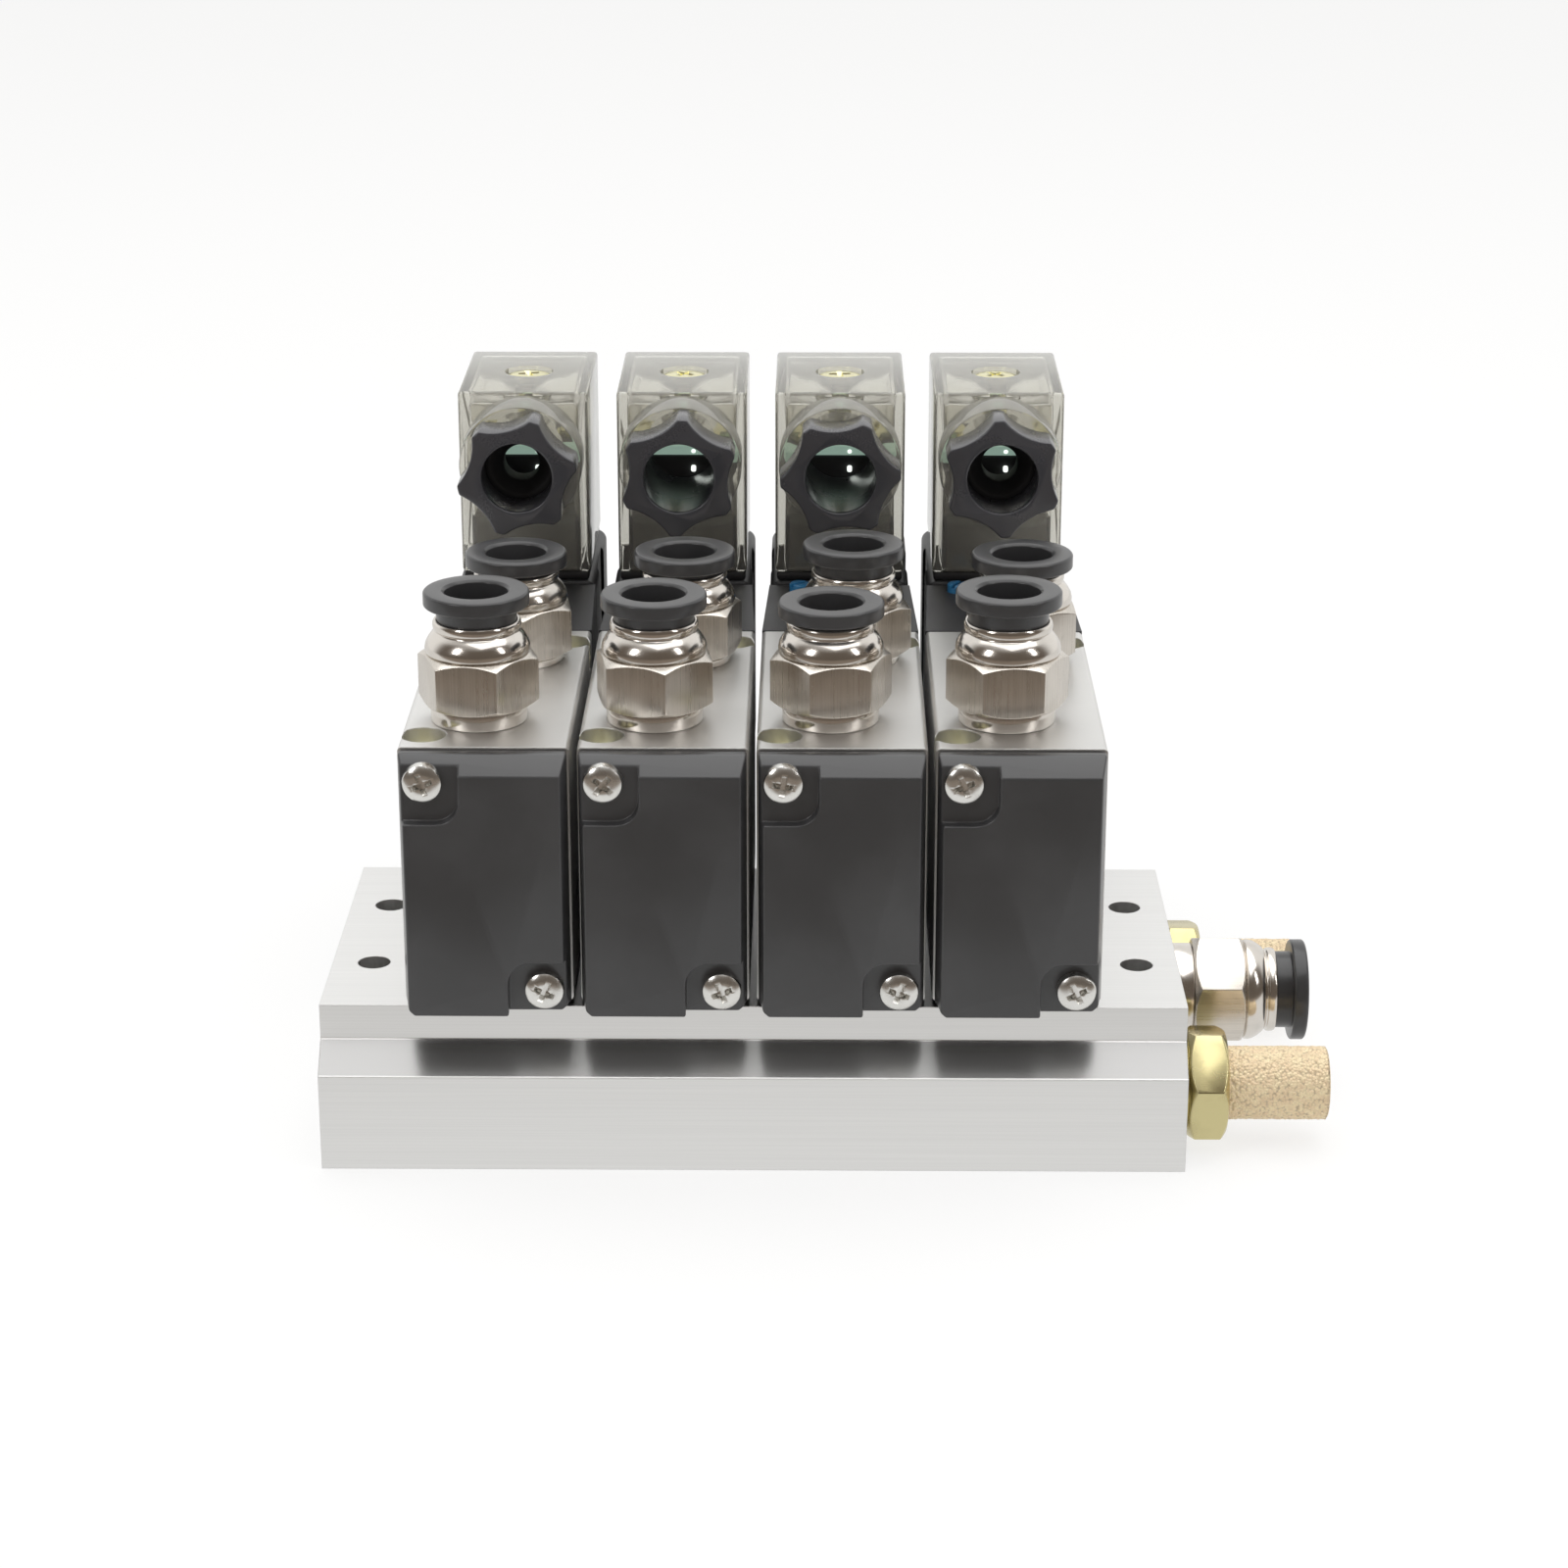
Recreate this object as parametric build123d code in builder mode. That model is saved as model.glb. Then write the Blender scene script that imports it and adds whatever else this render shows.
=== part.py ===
"""A valve island: four 22 mm 5/2 solenoid valves side by side on one aluminium manifold.

Millimetres. The origin is the centre of the manifold's underside, +X runs along the manifold towards
the supply port, +Y towards the coils and +Z up.
"""
import os

from build123d import *

os.makedirs("parts", exist_ok=True)

# ---------------------------------------------------------------- driving dimensions
RUN = 0.05                      # radial clearance of a sliding fit
FIT = 0.04                      # radial clearance of a threaded or pressed piece in its hole

# valve body, from its own underside
BODY_W, BODY_L, BODY_H = 22.0, 50.0, 35.0
EDGE = 0.6
HALF_L = BODY_L / 2
BORE_H = 17.0                   # height of the spool and of the armature
SPOOL_R = 4.95
PASSAGE_R = 2.75
GROOVE_R, GROOVE_W = 6.0, 3.4
PORT_R, PORT_DEPTH = 4.864, 9.0  # G1/8
PORT_A, PORT_B = (-1.45, 12.0 - HALF_L), (1.65, HALF_L - 12.0)
GROOVES = (6.5 - HALF_L, 15.5 - HALF_L, 0.0, HALF_L - 15.5, HALF_L - 6.5)
SCREW_X, SCREW_Y = BODY_W / 2 - 2.9, HALF_L - 4.9  # valve to manifold, on one diagonal
SCREW_R, HEAD_R, HEAD_SINK, GRIP = 1.5, 2.7, 4.4, 7.4

# manifold bar
GAP = 1.0                       # between valves
PITCH = BODY_W + GAP
STATIONS = [(n - 1.5) * PITCH for n in range(4)]
END_ROOM = 11.5                 # bar beyond the outer valves
BAR_L, BAR_H = 3 * PITCH + BODY_W + 2 * END_ROOM, 21.7
BAR_TOP = HALF_L + 0.15         # half widths
BAR_FOOT = BAR_TOP + 4.15
BAR_LIP, BAR_WAIST = 17.0, 13.2  # heights where the slanted face starts and ends
GALLERY_R = 4.3
SUPPLY_Z = 13.8
EXHAUST_Y, EXHAUST_Z = HALF_L - 6.0, 8.3
HOLE_X, HOLE_Y, HOLE_R = BAR_L / 2 - 5.6, 10.5, 2.2

GASKET = 0.8
BODY_Z = BAR_H + GASKET         # underside of the valves
TOP_Z = BODY_Z + BODY_H
BORE_Z = BODY_Z + BORE_H

# end cap
SEAL = 0.4                      # room for the cap's own seal
CAP_DEPTH, CAP_SKIRT, CAP_POCKET = 5.0, 1.4, 1.6
CAP_Y, CAP_FACE = HALF_L + SEAL, HALF_L + CAP_DEPTH
CAP_PLATEAU = BODY_W / 2 - 0.66  # half width
CAP_TOP = BODY_H - 1.95
CAP_X, CAP_HI, CAP_LO = BODY_W / 2 - 3.5, BODY_H - 3.4, 3.1  # its two screws
CAP_THREAD, CAP_HEAD, TAP = 1.25, 2.6, 1.7  # threads stop short of the sunk screws

# pilot block, armature tube and coil
PILOT_END, PILOT_TAIL = HALF_L + 24.0, BODY_W / 2 - 0.8
PILOT_X = CAP_X - 1.2           # upper of its two screws
PILOT_SEAT = CAP_Y + 3.6
CHAMBER_R, CHAMBER_END, PAD_R = 7.6, HALF_L + 9.0, 9.6
TUBE_R, TUBE_REST = 4.4, 0.4
COIL_Y0, COIL_W = PILOT_END + TUBE_REST, BODY_W - 1.6
COIL_Y1 = COIL_Y0 + 28.6
COIL_BASE = 2.4
NUT_H = 3.6
TUBE_END = COIL_Y1 + NUT_H + 1.0
BUTTON_X, BUTTON_Y, BUTTON_R, BUTTON_TOP = 5.2 - BODY_W / 2, PILOT_END - 4.0, 1.5, 1.2
BUTTON_L, BUTTON_ROOM = 5.0, 2.0

# plug connector
PLUG_Y0, PLUG_D, PLUG_W = COIL_Y0 + 0.6, 26.3, BODY_W - 3.2
PLUG_Y1 = PLUG_Y0 + PLUG_D
PLUG_MID = (PLUG_Y0 + PLUG_Y1) / 2
PLUG_RIM, PLUG_H = 1.3, 27.0
PLUG_Z0, PLUG_Z1 = TOP_Z + PLUG_RIM, TOP_Z + PLUG_RIM + PLUG_H
PLUG_WALL, PLUG_LID = 1.5, 1.8
INSERT_TOP, BOARD_Z, BOARD_T = PLUG_Z0 + 8.6, PLUG_Z0 + 15.9, 1.4
BLADE_H = 8.0
BLADES = (PLUG_Y0 + 8.0, PLUG_Y0 + 19.0, PLUG_Y0 + 23.0)
GLAND_Z = PLUG_Z0 + 17.7
BOSS_R, BOSS_FRONT = 8.8, PLUG_Y0 - 7.0
INNER_R, INNER_BACK = 7.6, PLUG_Y0 + 6.5  # the boss carries on inside as a thinner tube
CARRIER_Y0, CARRIER_Y1, CARRIER_W = INNER_BACK + 0.9, PLUG_Y1 - PLUG_WALL - 2.0, PLUG_W - 2 * PLUG_WALL - 1.4
BOARD_W, BOARD_D = 14.0, 4.2
BOARD_Y = INNER_BACK + 0.5 + BOARD_D / 2
GLAND_R, GLAND_VALLEY, GLAND_FRONT = 8.6, 7.0, BOSS_FRONT - 6.6
GLAND_BORE, NECK_R, PASS_R = 5.0, 6.4, 5.2
GLAND_LIP, SCALLOP_R = 0.8, 9.0
GLAND_TURN = (12.0, 26.0, 4.0, 34.0)
LID_SCREW_R, LID_HEAD_R, LID_SINK = 1.4, 3.3, 1.2

# push-in fittings, from the face that they screw into
HEX_AF = 14.0
SEAT_FRONT, SEAT_BACK, SEAT_INLET = 2.2, 1.2, 3.0
HEX_H, SHOULDER_H, COLLAR_H = 7.0, 3.0, 1.4
SLEEVE_R, TUBE_BORE, TUBE_STOP = 5.25, 4.1, -2.0
THREAD_L, SOCKET = 8.0, 2.6     # SOCKET is the sleeve room's floor above the seat
RING_R, RING_H, RING_SLEEVE = 6.9, 2.0, 4.6
RING_GAPS_A = (1.9, 1.6, 0.53, 2.1)   # from the collar to each ring at rest
RING_GAPS_B = (0.6, 0.8, 1.85, 0.54)
RING_GAP_INLET = 2.1

# silencers and plugs
SILENCER_HEX, SILENCER_FLANGE, SILENCER_STEM = 14.0, 0.7, 7.0
SILENCER_HEAD, SILENCER_R, SILENCER_L = 5.2, 5.0, 13.6
SILENCER_TURN = 16.5
PLUG_SINK, PLUG_LENGTH = 0.4, 7.0


def keep(part, name):
    """Name a finished piece and write it."""
    part.label = name
    export_step(part, f"parts/{name}.step")


# ---------------------------------------------------------------- manifold
with BuildPart() as manifold:
    with BuildSketch(Plane.YZ.offset(-BAR_L / 2)):
        with BuildLine():
            Polyline(
                (-BAR_FOOT, 0), (BAR_FOOT, 0), (BAR_FOOT, BAR_WAIST), (BAR_TOP, BAR_LIP), (BAR_TOP, BAR_H),
                (-BAR_TOP, BAR_H), (-BAR_TOP, BAR_LIP), (-BAR_FOOT, BAR_WAIST), close=True,
            )
        make_face()
    extrude(amount=BAR_L)
    # supply gallery in the middle, exhaust galleries low on either side
    with BuildSketch(Plane.YZ.offset(-BAR_L / 2)):
        with Locations((0, SUPPLY_Z), (-EXHAUST_Y, EXHAUST_Z), (EXHAUST_Y, EXHAUST_Z)):
            Circle(GALLERY_R)
    extrude(amount=BAR_L, mode=Mode.SUBTRACT)
    for end in (-1, 1):
        with BuildSketch(Plane.YZ.offset(end * BAR_L / 2)):
            with Locations((0, SUPPLY_Z), (-EXHAUST_Y, EXHAUST_Z), (EXHAUST_Y, EXHAUST_Z)):
                Circle(PORT_R)
        extrude(amount=-end * (THREAD_L + 2.0), mode=Mode.SUBTRACT)
    # passages up to each valve, and the tapped holes of its two screws
    with BuildSketch(Plane.XY.offset(BAR_H)):
        with Locations([(x, 0) for x in STATIONS]):
            Circle(PASSAGE_R)
    extrude(amount=-(BAR_H - SUPPLY_Z), mode=Mode.SUBTRACT)
    with BuildSketch(Plane.XY.offset(BAR_H)):
        with Locations([(x, y * EXHAUST_Y) for x in STATIONS for y in (-1, 1)]):
            Circle(PASSAGE_R)
    extrude(amount=-(BAR_H - EXHAUST_Z), mode=Mode.SUBTRACT)
    with BuildSketch(Plane.XY.offset(BAR_H)):
        with Locations([(x + s * SCREW_X, s * SCREW_Y) for x in STATIONS for s in (-1, 1)]):
            Circle(SCREW_R)
    extrude(amount=-(GRIP + 0.6), mode=Mode.SUBTRACT)
    with BuildSketch(Plane.XY):
        with Locations([(x * HOLE_X, y * HOLE_Y) for x in (-1, 1) for y in (-1, 1)]):
            Circle(HOLE_R)
    extrude(amount=BAR_H, mode=Mode.SUBTRACT)
keep(manifold.part, "manifold")

# ---------------------------------------------------------------- gaskets
with BuildPart() as station_gaskets:
    with BuildSketch(Plane.XY.offset(BAR_H)):
        with Locations([(x, 0) for x in STATIONS]):
            RectangleRounded(BODY_W - 0.6, BODY_L - 0.6, 1.0)
        with Locations([(x, y) for x in STATIONS for y in (-EXHAUST_Y, 0, EXHAUST_Y)]):
            Circle(PASSAGE_R, mode=Mode.SUBTRACT)
        with Locations([(x + s * SCREW_X, s * SCREW_Y) for x in STATIONS for s in (-1, 1)]):
            Circle(SCREW_R + 0.2, mode=Mode.SUBTRACT)
    extrude(amount=GASKET)
keep(station_gaskets.part, "station_gaskets")

# ---------------------------------------------------------------- valve body
with BuildPart() as valve_body:
    with BuildSketch(Plane.XZ.offset(HALF_L)):
        with Locations((0, BODY_Z + BODY_H / 2)):
            RectangleRounded(BODY_W, BODY_H, EDGE)
    extrude(amount=-BODY_L)
    # spool bore with an annular groove at each port
    with BuildSketch(Plane.XZ.offset(HALF_L)):
        with Locations((0, BORE_Z)):
            Circle(SPOOL_R + RUN)
    extrude(amount=-BODY_L, mode=Mode.SUBTRACT)
    for y in GROOVES:
        with BuildSketch(Plane.XZ.offset(-y + GROOVE_W / 2)):
            with Locations((0, BORE_Z)):
                Circle(GROOVE_R)
        extrude(amount=-GROOVE_W, mode=Mode.SUBTRACT)
    # ports A and B on top, each with a passage into its groove
    with BuildSketch(Plane.XY.offset(TOP_Z)):
        with Locations(PORT_A, PORT_B):
            Circle(PORT_R)
    extrude(amount=-PORT_DEPTH, mode=Mode.SUBTRACT)
    with BuildSketch(Plane.XY.offset(TOP_Z)):
        with Locations((0, GROOVES[1] - 1.3), (0, GROOVES[3] + 1.3)):
            Circle(PASSAGE_R)
    extrude(amount=-(TOP_Z - BORE_Z), mode=Mode.SUBTRACT)
    with BuildSketch(Plane.XY.offset(BODY_Z)):
        with Locations((0, -EXHAUST_Y), (0, 0), (0, EXHAUST_Y)):
            Circle(PASSAGE_R)
    extrude(amount=BORE_Z - BODY_Z, mode=Mode.SUBTRACT)
    # sunk screws on one diagonal
    with Locations(Location((-SCREW_X, -SCREW_Y, TOP_Z)), Location((SCREW_X, SCREW_Y, TOP_Z))):
        CounterBoreHole(SCREW_R + 0.2, HEAD_R + 0.3, HEAD_SINK)
    # tapped holes of the end cap and of the pilot block
    with BuildSketch(Plane.XZ.offset(HALF_L)):
        with Locations((-CAP_X, BODY_Z + CAP_HI), (CAP_X, BODY_Z + CAP_LO)):
            Circle(CAP_THREAD)
    extrude(amount=-TAP, mode=Mode.SUBTRACT)
    with BuildSketch(Plane.XZ.offset(-HALF_L)):
        with Locations((PILOT_X, BODY_Z + CAP_HI), (-CAP_X, BODY_Z + CAP_LO)):
            Circle(CAP_THREAD)
    extrude(amount=TAP, mode=Mode.SUBTRACT)

# ---------------------------------------------------------------- end cap
with BuildPart() as end_cap:
    with BuildSketch(Plane.XZ.offset(CAP_Y)):
        with Locations((0, BODY_Z + BODY_H / 2)):
            RectangleRounded(BODY_W, BODY_H - 2 * 0.2, 0.8)
    extrude(amount=CAP_SKIRT)
    # drafted sides up to the face, steeper along the top
    with BuildSketch(Plane.XZ.offset(CAP_Y + CAP_SKIRT)):
        with Locations((0, BODY_Z + BODY_H / 2)):
            RectangleRounded(BODY_W, BODY_H - 2 * 0.2, 0.8)
    with BuildSketch(Plane.XZ.offset(CAP_FACE)):
        with Locations((0, BODY_Z + (CAP_TOP + 0.9) / 2)):
            RectangleRounded(2 * CAP_PLATEAU, CAP_TOP - 0.9, 0.8)
    loft()
    # a pocket for each screw head, upper left and lower right
    with BuildSketch(Plane.XZ.offset(CAP_FACE)):
        with Locations((-CAP_PLATEAU, BODY_Z + CAP_TOP)):
            RectangleRounded(2 * 7.4, 2 * 6.85, 3.0)
        with Locations((CAP_PLATEAU, BODY_Z + 0.9)):
            RectangleRounded(2 * 7.5, 2 * 6.2, 3.0)
    extrude(amount=-CAP_POCKET, mode=Mode.SUBTRACT)
    with BuildSketch(Plane.XZ.offset(CAP_FACE)):
        with Locations((-CAP_X, BODY_Z + CAP_HI), (CAP_X, BODY_Z + CAP_LO)):
            Circle(CAP_THREAD + 0.45)
    extrude(amount=-(CAP_FACE - CAP_Y), mode=Mode.SUBTRACT)
    # seat of the return spring
    with BuildSketch(Plane.XZ.offset(CAP_Y)):
        with Locations((0, BORE_Z)):
            Circle(3.6)
    extrude(amount=2.6, mode=Mode.SUBTRACT)
    # pad that holds the cap off its seal
    with BuildSketch(Plane.XZ.offset(HALF_L)):
        with Locations((0, BORE_Z)):
            Circle(PAD_R)
            Circle(PAD_R - 2.2, mode=Mode.SUBTRACT)
    extrude(amount=SEAL)

# ---------------------------------------------------------------- pilot block with its armature tube
with BuildPart() as pilot_body:
    with BuildSketch(Plane.XY.offset(BODY_Z + 0.5)):
        with BuildLine():
            Polyline(
                (-BODY_W / 2, CAP_Y), (BODY_W / 2, CAP_Y), (PILOT_TAIL, PILOT_END), (-PILOT_TAIL, PILOT_END),
                close=True,
            )
        make_face()
    extrude(amount=BODY_H - 0.5)
    # the underside steps up towards the coil
    with BuildSketch(Plane.YZ.offset(-BODY_W / 2)):
        with BuildLine():
            Polyline(
                (PILOT_END - 13, BODY_Z - 1), (PILOT_END - 13, BODY_Z + 0.5), (PILOT_END - 8, BODY_Z + 5.5),
                (PILOT_END + 1, BODY_Z + 5.5),
                (PILOT_END + 1, BODY_Z - 1), close=True,
            )
        make_face()
    extrude(amount=BODY_W, mode=Mode.SUBTRACT)
    # shallow relief across the top, ahead of the coil
    with BuildSketch(Plane.XY.offset(TOP_Z)):
        with Locations((0, PILOT_END)):
            Rectangle(BODY_W + 2, 2.4)
    extrude(amount=-1.0, mode=Mode.SUBTRACT)
    # armature tube with its shoulder, through the coil
    with BuildSketch(Plane.XZ.offset(-PILOT_END)):
        with Locations((0, BORE_Z)):
            Circle(TUBE_R + 2.4)
    extrude(amount=-TUBE_REST)
    with BuildSketch(Plane.XZ.offset(-PILOT_END)):
        with Locations((0, BORE_Z)):
            Circle(TUBE_R)
    extrude(amount=-(TUBE_END - PILOT_END))
    # piston chamber
    with BuildSketch(Plane.XZ.offset(-CAP_Y)):
        with Locations((0, BORE_Z)):
            Circle(CHAMBER_R)
    extrude(amount=-(CHAMBER_END - CAP_Y), mode=Mode.SUBTRACT)
    with BuildSketch(Plane.XZ.offset(-HALF_L)):
        with Locations((0, BORE_Z)):
            Circle(PAD_R)
            Circle(CHAMBER_R, mode=Mode.SUBTRACT)
    extrude(amount=-SEAL)
    # guide of the manual override
    with BuildSketch(Plane.XY.offset(TOP_Z)):
        with Locations((BUTTON_X, BUTTON_Y)):
            Circle(BUTTON_R + RUN)
    extrude(amount=-(BUTTON_L + BUTTON_ROOM), mode=Mode.SUBTRACT)
    # two long screws from the rear, on the other diagonal
    with BuildSketch(Plane.XZ.offset(-PILOT_END)):
        with Locations((PILOT_X, BODY_Z + CAP_HI), (-CAP_X, BODY_Z + CAP_LO)):
            Circle(CAP_HEAD + 0.2)
    extrude(amount=PILOT_END - PILOT_SEAT, mode=Mode.SUBTRACT)
    with BuildSketch(Plane.XZ.offset(-PILOT_END)):
        with Locations((PILOT_X, BODY_Z + CAP_HI), (-CAP_X, BODY_Z + CAP_LO)):
            Circle(CAP_THREAD + 0.45)
    extrude(amount=PILOT_END - CAP_Y, mode=Mode.SUBTRACT)

# ---------------------------------------------------------------- manual override
with BuildPart() as override_button:
    with BuildSketch(Plane.XY.offset(TOP_Z - BUTTON_L)):
        with Locations((BUTTON_X, BUTTON_Y)):
            Circle(BUTTON_R)
    extrude(amount=BUTTON_L + BUTTON_TOP)
    with BuildSketch(Plane.XY.offset(TOP_Z + BUTTON_TOP)):
        with Locations((BUTTON_X, BUTTON_Y)):
            Rectangle(2 * BUTTON_R + 1, 0.5)
    extrude(amount=-0.5, mode=Mode.SUBTRACT)

# ---------------------------------------------------------------- spool with its piston
STEM_R, LAND, PISTON_H, STROKE = 2.9, 4.6, 3.0, 3.5
SPOOL_FRONT = -(HALF_L - STROKE - 0.9)
PISTON_Y = CAP_Y + STROKE + 0.3
LANDS = [GROOVES[0] + GROOVE_W / 2 + 0.5] + [(a + b) / 2 + 0.4 for a, b in zip(GROOVES, GROOVES[1:])][1:]
with BuildPart() as spool:
    with BuildSketch(Plane.XZ.offset(-SPOOL_FRONT)):
        with Locations((0, BORE_Z)):
            Circle(STEM_R)
    extrude(amount=-(PISTON_Y + 0.2 - SPOOL_FRONT))
    for y in LANDS + [HALF_L - LAND - 0.2]:
        with BuildSketch(Plane.XZ.offset(-y)):
            with Locations((0, BORE_Z)):
                Circle(SPOOL_R)
        extrude(amount=-LAND)
    with BuildSketch(Plane.XZ.offset(-SPOOL_FRONT)):
        with Locations((0, BORE_Z)):
            Circle(SPOOL_R)
    extrude(amount=-1.6)
    with BuildSketch(Plane.XZ.offset(-PISTON_Y)):
        with Locations((0, BORE_Z)):
            Circle(CHAMBER_R - RUN - 0.03)
    extrude(amount=-PISTON_H)

# ---------------------------------------------------------------- coil
with BuildPart() as coil:
    with BuildSketch(Plane.XZ.offset(-COIL_Y0)):
        with Locations((0, BODY_Z + (COIL_BASE + BODY_H) / 2)):
            RectangleRounded(COIL_W, BODY_H - COIL_BASE, 1.6)
    extrude(amount=-(COIL_Y1 - COIL_Y0))
    fillet(coil.edges().filter_by(Axis.Z), 0.6)
    # the iron frame shows as a shallow band around the moulding
    with BuildSketch(Plane.XZ.offset(-COIL_Y0 - 9.0)):
        with Locations((0, BODY_Z + (COIL_BASE + BODY_H) / 2)):
            Rectangle(COIL_W + 2, BODY_H + 2)
            RectangleRounded(COIL_W - 0.8, BODY_H - COIL_BASE + 2, 1.4, mode=Mode.SUBTRACT)
    extrude(amount=-11.0, mode=Mode.SUBTRACT)
    with BuildSketch(Plane.XZ.offset(-COIL_Y0)):
        with Locations((0, BORE_Z)):
            Circle(TUBE_R + 0.06)
    extrude(amount=-(COIL_Y1 - COIL_Y0), mode=Mode.SUBTRACT)
    # terminal blades
    with BuildSketch(Plane.XY.offset(TOP_Z)):
        with Locations((0, BLADES[0]), (0, BLADES[1])):
            Rectangle(5.0, 0.8)
        with Locations((0, BLADES[2])):
            Rectangle(0.8, 3.6)
    extrude(amount=BLADE_H)

# ---------------------------------------------------------------- plug connector
with BuildPart() as connector_housing:
    with BuildSketch(Plane.XY.offset(PLUG_Z0)):
        with Locations((0, PLUG_MID)):
            RectangleRounded(PLUG_W, PLUG_D, 1.6)
    extrude(amount=PLUG_H)
    fillet(connector_housing.faces().sort_by(Axis.Z)[-1].edges(), 0.9)
    # hollow for the terminal block
    with BuildSketch(Plane.XY.offset(PLUG_Z0)):
        with Locations((0, PLUG_MID)):
            RectangleRounded(PLUG_W - 2 * PLUG_WALL, PLUG_D - 2 * PLUG_WALL, 0.8)
    extrude(amount=PLUG_H - PLUG_LID, mode=Mode.SUBTRACT)
    # gland boss outside, its tube inside, and the threaded neck that takes the nut
    with BuildSketch(Plane.XZ.offset(-PLUG_Y0 - PLUG_WALL / 2)):
        with Locations((0, GLAND_Z)):
            Circle(BOSS_R)
    extrude(amount=PLUG_Y0 + PLUG_WALL / 2 - BOSS_FRONT)
    with BuildSketch(Plane.XZ.offset(-INNER_BACK)):
        with Locations((0, GLAND_Z)):
            Circle(INNER_R)
    extrude(amount=INNER_BACK - PLUG_Y0)
    with BuildSketch(Plane.XZ.offset(-BOSS_FRONT)):
        with Locations((0, GLAND_Z)):
            Circle(NECK_R)
    extrude(amount=BOSS_FRONT - GLAND_FRONT - GLAND_LIP)
    with BuildSketch(Plane.XZ.offset(-INNER_BACK)):
        with Locations((0, GLAND_Z)):
            Circle(PASS_R)
    extrude(amount=INNER_BACK - GLAND_FRONT, mode=Mode.SUBTRACT)
    # recess and hole of the central screw
    with Locations(Location((0, PLUG_MID, PLUG_Z1))):
        CounterBoreHole(LID_SCREW_R + 0.3, LID_HEAD_R + 0.3, LID_SINK, depth=PLUG_LID + 1.2)

with BuildPart() as connector_insert:
    # seal rim between coil and plug
    with BuildSketch(Plane.XY.offset(TOP_Z)):
        with Locations((0, PLUG_MID)):
            RectangleRounded(PLUG_W - 0.4, PLUG_D - 0.4, 1.4)
    extrude(amount=PLUG_Z0 - TOP_Z)
    # terminal block
    with BuildSketch(Plane.XY.offset(PLUG_Z0)):
        with Locations((0, PLUG_MID)):
            RectangleRounded(PLUG_W - 2 * PLUG_WALL - 0.1, PLUG_D - 2 * PLUG_WALL - 0.1, 0.7)
    extrude(amount=INSERT_TOP - PLUG_Z0)
    # its raised back, behind the gland, and the circuit board on it
    with BuildSketch(Plane.XY.offset(INSERT_TOP)):
        with Locations((0, (CARRIER_Y0 + CARRIER_Y1) / 2)):
            RectangleRounded(CARRIER_W, CARRIER_Y1 - CARRIER_Y0, 0.7)
    extrude(amount=BOARD_Z - INSERT_TOP)
    with BuildSketch(Plane.XY.offset(BOARD_Z)):
        with Locations((0, BOARD_Y)):
            Rectangle(BOARD_W, BOARD_D)
    extrude(amount=BOARD_T)
    # slots of the terminal blades, hole of the central screw
    with BuildSketch(Plane.XY.offset(TOP_Z)):
        with Locations((0, BLADES[0]), (0, BLADES[1])):
            Rectangle(5.4, 1.2)
        with Locations((0, BLADES[2])):
            Rectangle(1.2, 3.7)
    extrude(amount=BLADE_H + 0.6, mode=Mode.SUBTRACT)
    with BuildSketch(Plane.XY.offset(TOP_Z)):
        with Locations((0, PLUG_MID)):
            Circle(LID_SCREW_R + 0.1)
    extrude(amount=BOARD_Z - TOP_Z, mode=Mode.SUBTRACT)


# ---------------------------------------------------------------- fasteners, one node for each kind
with BuildPart() as mounting_screws:
    spots = [(x + s * SCREW_X, s * SCREW_Y) for x in STATIONS for s in (-1, 1)]
    with BuildSketch(Plane.XY.offset(TOP_Z - HEAD_SINK)):
        with Locations(spots):
            Circle(HEAD_R)
    extrude(amount=2.0)
    with BuildSketch(Plane.XY.offset(TOP_Z - HEAD_SINK)):
        with Locations(spots):
            Circle(SCREW_R - FIT)
    extrude(amount=-(BODY_H - HEAD_SINK + GASKET + GRIP))
    with BuildSketch(Plane.XY.offset(TOP_Z - HEAD_SINK + 2.0)):
        with Locations(spots):
            Rectangle(3.0, 0.7)
            Rectangle(0.7, 3.0)
    extrude(amount=-1.1, mode=Mode.SUBTRACT)
keep(mounting_screws.part, "mounting_screws")

with BuildPart() as cap_screws:
    front = []
    for x in STATIONS:
        front += [(x - CAP_X, BODY_Z + CAP_HI), (x + CAP_X, BODY_Z + CAP_LO)]
    seat = CAP_FACE - CAP_POCKET
    with BuildSketch(Plane.XZ.offset(seat)):
        with Locations(front):
            Circle(CAP_HEAD)
    extrude(amount=1.7, taper=12)
    with BuildSketch(Plane.XZ.offset(seat)):
        with Locations(front):
            Circle(CAP_THREAD - FIT)
    extrude(amount=-(seat - HALF_L + TAP - 0.1))
    with BuildSketch(Plane.XZ.offset(seat + 1.7)):
        with Locations(front):
            Rectangle(2.8, 0.65)
            Rectangle(0.65, 2.8)
    extrude(amount=-1.0, mode=Mode.SUBTRACT)
    rear = []
    for x in STATIONS:
        rear += [(x + PILOT_X, BODY_Z + CAP_HI), (x - CAP_X, BODY_Z + CAP_LO)]
    with BuildSketch(Plane.XZ.offset(-PILOT_SEAT)):
        with Locations(rear):
            Circle(CAP_HEAD)
    extrude(amount=-1.7)
    with BuildSketch(Plane.XZ.offset(-PILOT_SEAT)):
        with Locations(rear):
            Circle(CAP_THREAD - FIT)
    extrude(amount=PILOT_SEAT - HALF_L + TAP - 0.1)
keep(cap_screws.part, "cap_screws")

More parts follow.
